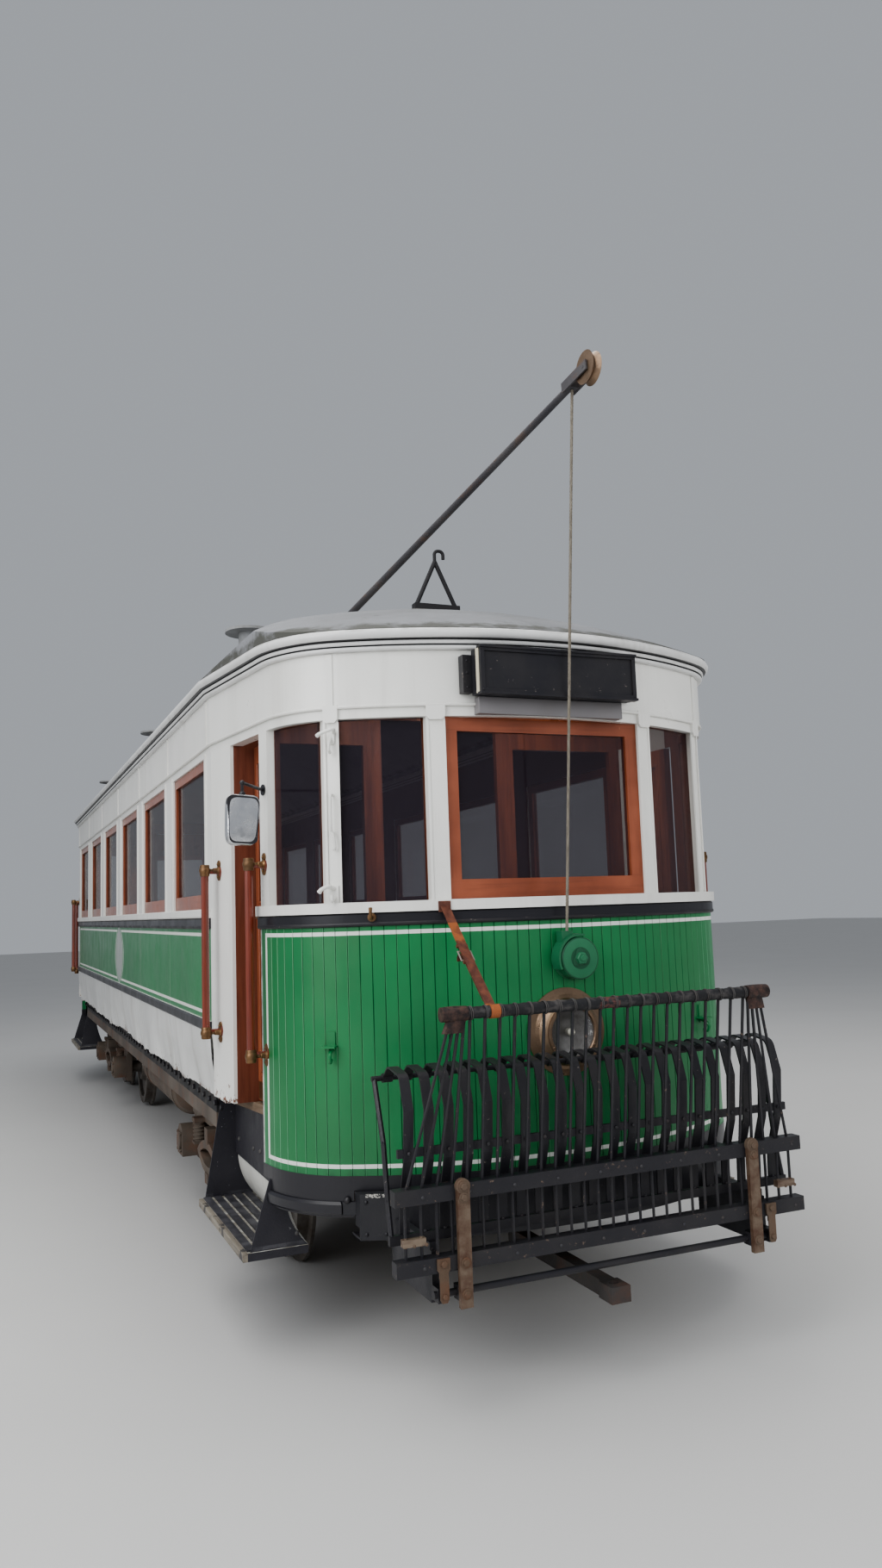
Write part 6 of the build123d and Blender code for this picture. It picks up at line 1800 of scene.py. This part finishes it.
def lamp_dressing(end, sign):
    """The silvered well, the ring with its screws, the lens and the bulb."""
    centre = np.array([0, -NOSE_Y - 0.0003, LAMP_Z])
    well = Shape(sign).grid(turned(LAMP_WELL, centre, FRONT, 40), round_columns=True)
    well.piece(f"lamp_well_{end}", "car_body", "lamp_bronze", lamp_silver)
    rim = Shape(sign).grid(turned(LAMP_RING, centre, FRONT, 48), round_columns=True, round_rows=True)
    rim.stack(heads(screws(centre, *FLANGE_SCREWS), FRONT, dome(0.0075, 0.004)))
    rim.stack(heads(screws(centre, *RING_SCREWS), FRONT, dome(0.0050, 0.004)))
    rim.piece(f"lamp_ring_{end}", "car_body", "lamp_bronze", bronze)
    lens = Shape(sign).grid(turned(LAMP_LENS, centre, FRONT, 40), round_columns=True)
    lens.piece(f"lamp_glass_{end}", "car_body", "clear_glass", lens_glass)
    bulb = Shape(sign).stack(heads([centre + FRONT * 0.046], FRONT, ball(0.016), 16))
    bulb.piece(f"lamp_bulb_{end}", "car_body", "clear_glass", bulb_glass)


def retriever_dressing(end, sign):
    """A dished cover, a three-lobed washer under a nut and a pin, and the guard round one side."""
    centre = np.array([RETRIEVER_X, -NOSE_Y - RETRIEVER_DEPTH - 0.0003, RETRIEVER_Z])
    iron = Shape(sign).grid(turned(RETRIEVER_COVER, centre, BACK, 56), round_columns=True)
    turn = np.linspace(0, 2 * math.pi, 60, endpoint=False)
    reach = 0.0350 + 0.0075 * np.cos(3 * turn + 1.2)
    lobes = np.stack([reach * np.cos(turn), np.zeros(60), reach * np.sin(turn)], -1)
    washer = [lobes + FRONT * 0.006, lobes + FRONT * 0.0095, lobes * 0.93 + FRONT * 0.0105]
    iron.stack((centre + np.stack(washer))[None], flip=True)
    hub = [centre + FRONT * 0.0100]
    iron.stack(heads(hub, FRONT, RETRIEVER_NUT, 6))
    iron.stack(heads(hub, FRONT, RETRIEVER_PIN, 18))
    iron.piece(f"retriever_iron_{end}", "car_body", "retriever_green", retriever_face, crease=30)
    turn = np.radians(np.linspace(75, 205, GUARD_STEPS))
    loop = np.stack([np.cos(turn), np.zeros(GUARD_STEPS), np.sin(turn)], -1)
    guard = centre + np.stack([loop * radius + BACK * depth for radius, depth in GUARD], 1)
    hood = Shape(sign).stack(guard[None])
    hood.piece(f"retriever_guard_{end}", "car_body", "retriever_green", retriever_paint, crease=40)


def retriever_finish():
    """The retriever's green, darkened round the hub and in the corner of the rim: old grease, and painted shade."""
    finish = Finish("retriever_face", (0.022, 0.135, 0.062), 0.36)
    across = finish.x * finish.y.apply("SIGN") + RETRIEVER_X
    reach = distance(across, finish.z - RETRIEVER_Z)
    # Dark rings round the hub and in the corner of the rim: grease, and painted shade where these hollows fall into
    # shadow.
    grease_and_shade = reach.between(0.026, 0.045) * 0.55 + reach.between(0.080, 0.0865) * 0.45
    body = finish.mix(finish.noise(6, 5).rise(0.35, 0.7), (0.021, 0.125, 0.058), (0.030, 0.16, 0.078))
    body = body.coat(grease_and_shade, (0.006, 0.022, 0.012))
    return finish.feed(Base_Color=body).bump(finish.noise(60, 4), 0.0006)


def sign_dressing(end, sign):
    """Side flanges with screws, strips above and below the blank plate, and cream edges."""
    back, front = -NOSE_Y - 0.010, -NOSE_Y - SIGN_DEPTH - LETTER_PROUD
    dark = Shape(sign)
    for side in (-1, 1):
        x0, x1 = sorted((side * SIGN_HALF, side * (SIGN_HALF + 0.042)))
        dark.stack(plate(x0, x1, back - 0.004, back + 0.040, SIGN_LOW + 0.012, SIGN_HIGH - 0.020))
        bolts = [(side * (SIGN_HALF + 0.024), back - 0.0042, z) for z in SIGN_BOLTS]
        dark.stack(heads(bolts, FRONT, dome(0.0055, 0.004)))
    half = SIGN_HALF + 0.004
    for z in (SIGN_HIGH - 0.004, SIGN_LOW - 0.006):
        dark.stack(plate(-half, half, front - 0.006, front + 0.030, z, z + 0.010))
    pins = [(x, front, z) for x in (-SIGN_HALF + 0.009, SIGN_HALF - 0.009)
            for z in (SIGN_LOW + 0.010, SIGN_HIGH - 0.010)]
    dark.stack(heads(pins, FRONT, dome(0.0055, 0.0035)))
    dark.piece(f"sign_fittings_{end}", "car_body", "black_steel", black_finish, crease=30)
    cream = Shape(sign)
    for side in (-1, 1):
        x0, x1 = sorted((side * (SIGN_HALF - 0.0005), side * (SIGN_HALF + 0.0025)))
        cream.stack(plate(x0, x1, front + 0.018, front + 0.044, SIGN_LOW + 0.002, SIGN_HIGH - 0.002))
    cream.piece(f"sign_edge_{end}", "car_body", "body_white", cream_paint)


cream_paint = Finish("cream_paint", (0.62, 0.57, 0.44), 0.45)
cream_paint.bump(cream_paint.noise(50, 4), 0.0006)
retriever_face = retriever_finish()
for end, sign in ENDS:
    lamp_dressing(end, sign)
    retriever_dressing(end, sign)
    sign_dressing(end, sign)
print("lamps, retrievers and sign boxes dressed")

# %% [markdown]
# Steps: dark slats over a pale painted tread, a nosing of bare grey wood with the paint trodden
# off, a cream soffit that curves back to the riser, and bolts where the plates are fixed.

# %% Steps
STEP_TOP, STEP_THICK, STEP_OUT, STEP_IN = 0.418, 0.034, 1.228, 0.952
STEP_REAR, STEP_FRONT = 3.610, 4.590
SOFFIT_TOP, SOFFIT_X, SOFFIT_THICK, SOFFIT_STEPS = 0.622, 1.036, 0.006, 12
RISER_X, RISER_BOLTS = 1.0443, ((4.010, 0.712), (4.145, 0.722), (3.700, 0.700))


def step_paint():
    """Black plates; between the slats, on the tread alone, worn white; the outer nosing bare wood."""
    finish = Finish("step_paint", BLACK, 0.5)
    across, z = finish.x.magnitude(), finish.z
    chips = finish.noise(46, 6, 0.72).rise(0.68, 0.70)
    body = finish.mix(finish.noise(4, 4).rise(0.4, 0.8) * 0.4, (0.024, 0.023, 0.030), (0.060, 0.057, 0.064))
    body = body.coat(chips, (0.42, 0.42, 0.44))
    tread = z.between(STEP_TOP - 0.001, STEP_TOP + 0.0015) * across.above(STEP_IN - 0.002)
    pale = finish.mix(finish.noise(30, 5).rise(0.35, 0.6), (0.50, 0.50, 0.46), (0.24, 0.22, 0.18))
    body = body.coat(tread, pale)
    nosing = across.above(STEP_OUT - 0.020) * z.between(STEP_TOP - STEP_THICK - 0.002, STEP_TOP + 0.004)
    grain = finish.noise(60, 5, 0.6, (1, 0.05, 1))
    wood = finish.mix(grain.rise(0.3, 0.7), (0.30, 0.27, 0.22), (0.13, 0.11, 0.09))
    wood = wood.coat(finish.noise(9, 5).above(0.62) * 0.8, (0.03, 0.03, 0.035))
    body = body.coat(nosing, wood)
    worn = z.between(STEP_TOP + 0.005, STEP_TOP + 0.02) * finish.noise(13, 5).rise(0.42, 0.62) * 0.6
    body = body.coat(worn, (0.10, 0.10, 0.11))
    return iron_surface(finish, body, 0.38, 110, 9, 0.0010)


def step_soffit(side):
    """A thin plate that leaves the riser upright and bends back under the tread."""
    share = np.linspace(0, 1, SOFFIT_STEPS)
    height = SOFFIT_TOP - (SOFFIT_TOP - STEP_TOP - 0.001) * share
    x = side * (SOFFIT_X - 0.004 * share - 0.074 * share ** 2.2)
    rows = [np.stack([x, np.full(SOFFIT_STEPS, y), height], -1)
            for y in (-STEP_FRONT + 0.016, -STEP_REAR - 0.016)]
    face = np.stack(rows)
    rear = face[:, ::-1] - np.array([side * SOFFIT_THICK, 0, 0])
    return np.concatenate([face, rear], 1)[None]


paint("steps", step_paint())
cream_white = enamel("soffit_white", (0.66, 0.655, 0.61), 0.45, streak=0.5)
for end, sign in ENDS:
    soffit, bolts = Shape(sign), Shape(sign)
    for side in (-1, 1):
        soffit.stack(step_soffit(side), flip=side > 0)
        riser_bolts = [(side * RISER_X, -y, z) for y, z in RISER_BOLTS]
        bolts.stack(heads(riser_bolts, (side, 0, 0), dome(0.0115, 0.008), 12))
        cheek_bolts = [(side * 1.000, -STEP_FRONT - 0.0002, 0.470)]
        bolts.stack(heads(cheek_bolts, FRONT, dome(0.010, 0.006), 12))
    soffit.piece(f"step_soffits_{end}", "car_body", "body_white", cream_white, crease=40)
    bolts.piece(f"step_bolts_{end}", "car_body", "black_steel", dull_wire)
print("steps dressed")

# %% [markdown]
# Bumpers and running gear. Paint has been knocked off the bumper's top edge near its ends, two
# bolts hold each lug, and the bogies get the cover bolts and the turns of their coil springs. A
# spring is a bar swept along a helix: cosine and sine of the turn, while the height rises evenly.

# %% Bumpers and running gear
WORN_EDGE, BUMPER_TOP = (0.728, 0.840), 0.698
BUMPER_PROUD, BUMPER_FOOT = 0.060, ((0.838, 0.548), (0.770, 0.548), (0.838, 0.668))
LUG_PROUD, BUMPER_LUG = 0.0148, ((0.888, 0.665), (0.848, 0.630))
BOGIE_CENTRE, WHEELBASE, AXLE_HEIGHT = 2.660, 1.474, 0.378
BOX_FACE, BOX_BOLTS = 1.040, 0.074
COIL_X, COIL_SHIFT, COIL_LOW, COIL_HIGH = 0.950, 0.184, 0.404, 0.518
COIL_TURNS, COIL_RADIUS, COIL_WIRE = 5, 0.036, 0.0065


def bumper_paint():
    """Black and rubbed, knocked down to pale metal along the top edge near each end."""
    finish = Finish("bumper_paint", BLACK, 0.45)
    body = finish.mix(finish.noise(5, 4).rise(0.4, 0.8) * 0.5, (0.019, 0.019, 0.023), (0.055, 0.053, 0.055))
    rubbed = finish.noise(30, 6, 0.7).rise(0.66, 0.70)
    body = body.coat(rubbed * 0.8, (0.12, 0.11, 0.105))
    spot = finish.x.magnitude().between(*WORN_EDGE) * finish.noise(90, 5, 0.7).above(0.50)
    from_centre = distance(finish.x, finish.y.magnitude() - BOW_CENTRE_Y)
    front = from_centre.above(BOW_RADIUS + BUMPER_PROUD - 0.006)
    top = (finish.z + finish.noise(35, 5, 0.7) * 0.030).above(BUMPER_TOP + 0.003)
    body = body.coat(spot * front * top, (0.48, 0.46, 0.42))
    return iron_surface(finish, body, 0.34, 120, 12, 0.0008)


def outline_place(x, stand):
    """The place on the bow or corner of end a at x, so far outside the wall, and its outward direction."""
    _, places, outward = end_plan(1, DASH_LENGTH, np.linspace(0, DASH_LENGTH, 500))
    nearest = np.argmin(np.abs(places[:, 0] + outward[:, 0] * stand - x))
    out = np.append(outward[nearest], 0)
    return np.append(places[nearest], 0) + out * stand, out


def axlebox_irons(side, axle):
    """Four bolts round the cover of one axlebox, and the coil spring beside it."""
    y = -BOGIE_CENTRE + axle * WHEELBASE / 2
    turn = np.radians([45, 135, 225, 315])
    bolts = np.stack([np.full(4, side * BOX_FACE), y + BOX_BOLTS * np.cos(turn),
                      AXLE_HEIGHT + BOX_BOLTS * np.sin(turn)], -1)
    share = np.linspace(0, 1, COIL_TURNS * 16)
    turn = 2 * math.pi * COIL_TURNS * share
    helix = np.stack([side * COIL_X + COIL_RADIUS * np.cos(turn),
                      y - axle * COIL_SHIFT + COIL_RADIUS * np.sin(turn),
                      COIL_LOW + (COIL_HIGH - COIL_LOW) * share], -1)
    return heads(bolts, (side, 0, 0), nut(0.011, 0.012), 6), swept(helix, COIL_WIRE, 8, UP)


paint("bumpers", bumper_paint())
lug_bolts = Shape()
for end, sign in ENDS:
    lug_bolts.sign = sign
    for side in (-1, 1):
        for x, z in BUMPER_LUG:
            place, out = outline_place(side * x, LUG_PROUD)
            lug_bolts.stack(heads([place + UP * z], out, dome(0.0130, 0.010, 5), 14))
        for x, z in BUMPER_FOOT:
            place, out = outline_place(side * x, BUMPER_PROUD - 0.0002)
            lug_bolts.stack(heads([place + UP * z], out, dome(0.0080, 0.006)))
lug_bolts.piece("bumper_bolts", "car_body", "black_steel", black_finish)
for end, sign in ENDS:
    irons = Shape(sign)
    for side, axle in ((-1, -1), (-1, 1), (1, -1), (1, 1)):
        bolts, spring = axlebox_irons(side, axle)
        irons.stack(bolts).stack(spring)
    irons.piece(f"axlebox_bolts_{end}", f"bogie_{end}", "truck_steel", truck_iron, crease=30)
print("bumpers and bogies dressed")

# %% [markdown]
# Last, the sizes: the box of the dressed car beside the box of the construction model.

# %% Sizes and finish
json.dump({"cad": cad_box, "dressed": [list(corner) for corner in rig.bounds()]}, open("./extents.json", "w"))
print(open("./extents.json").read())
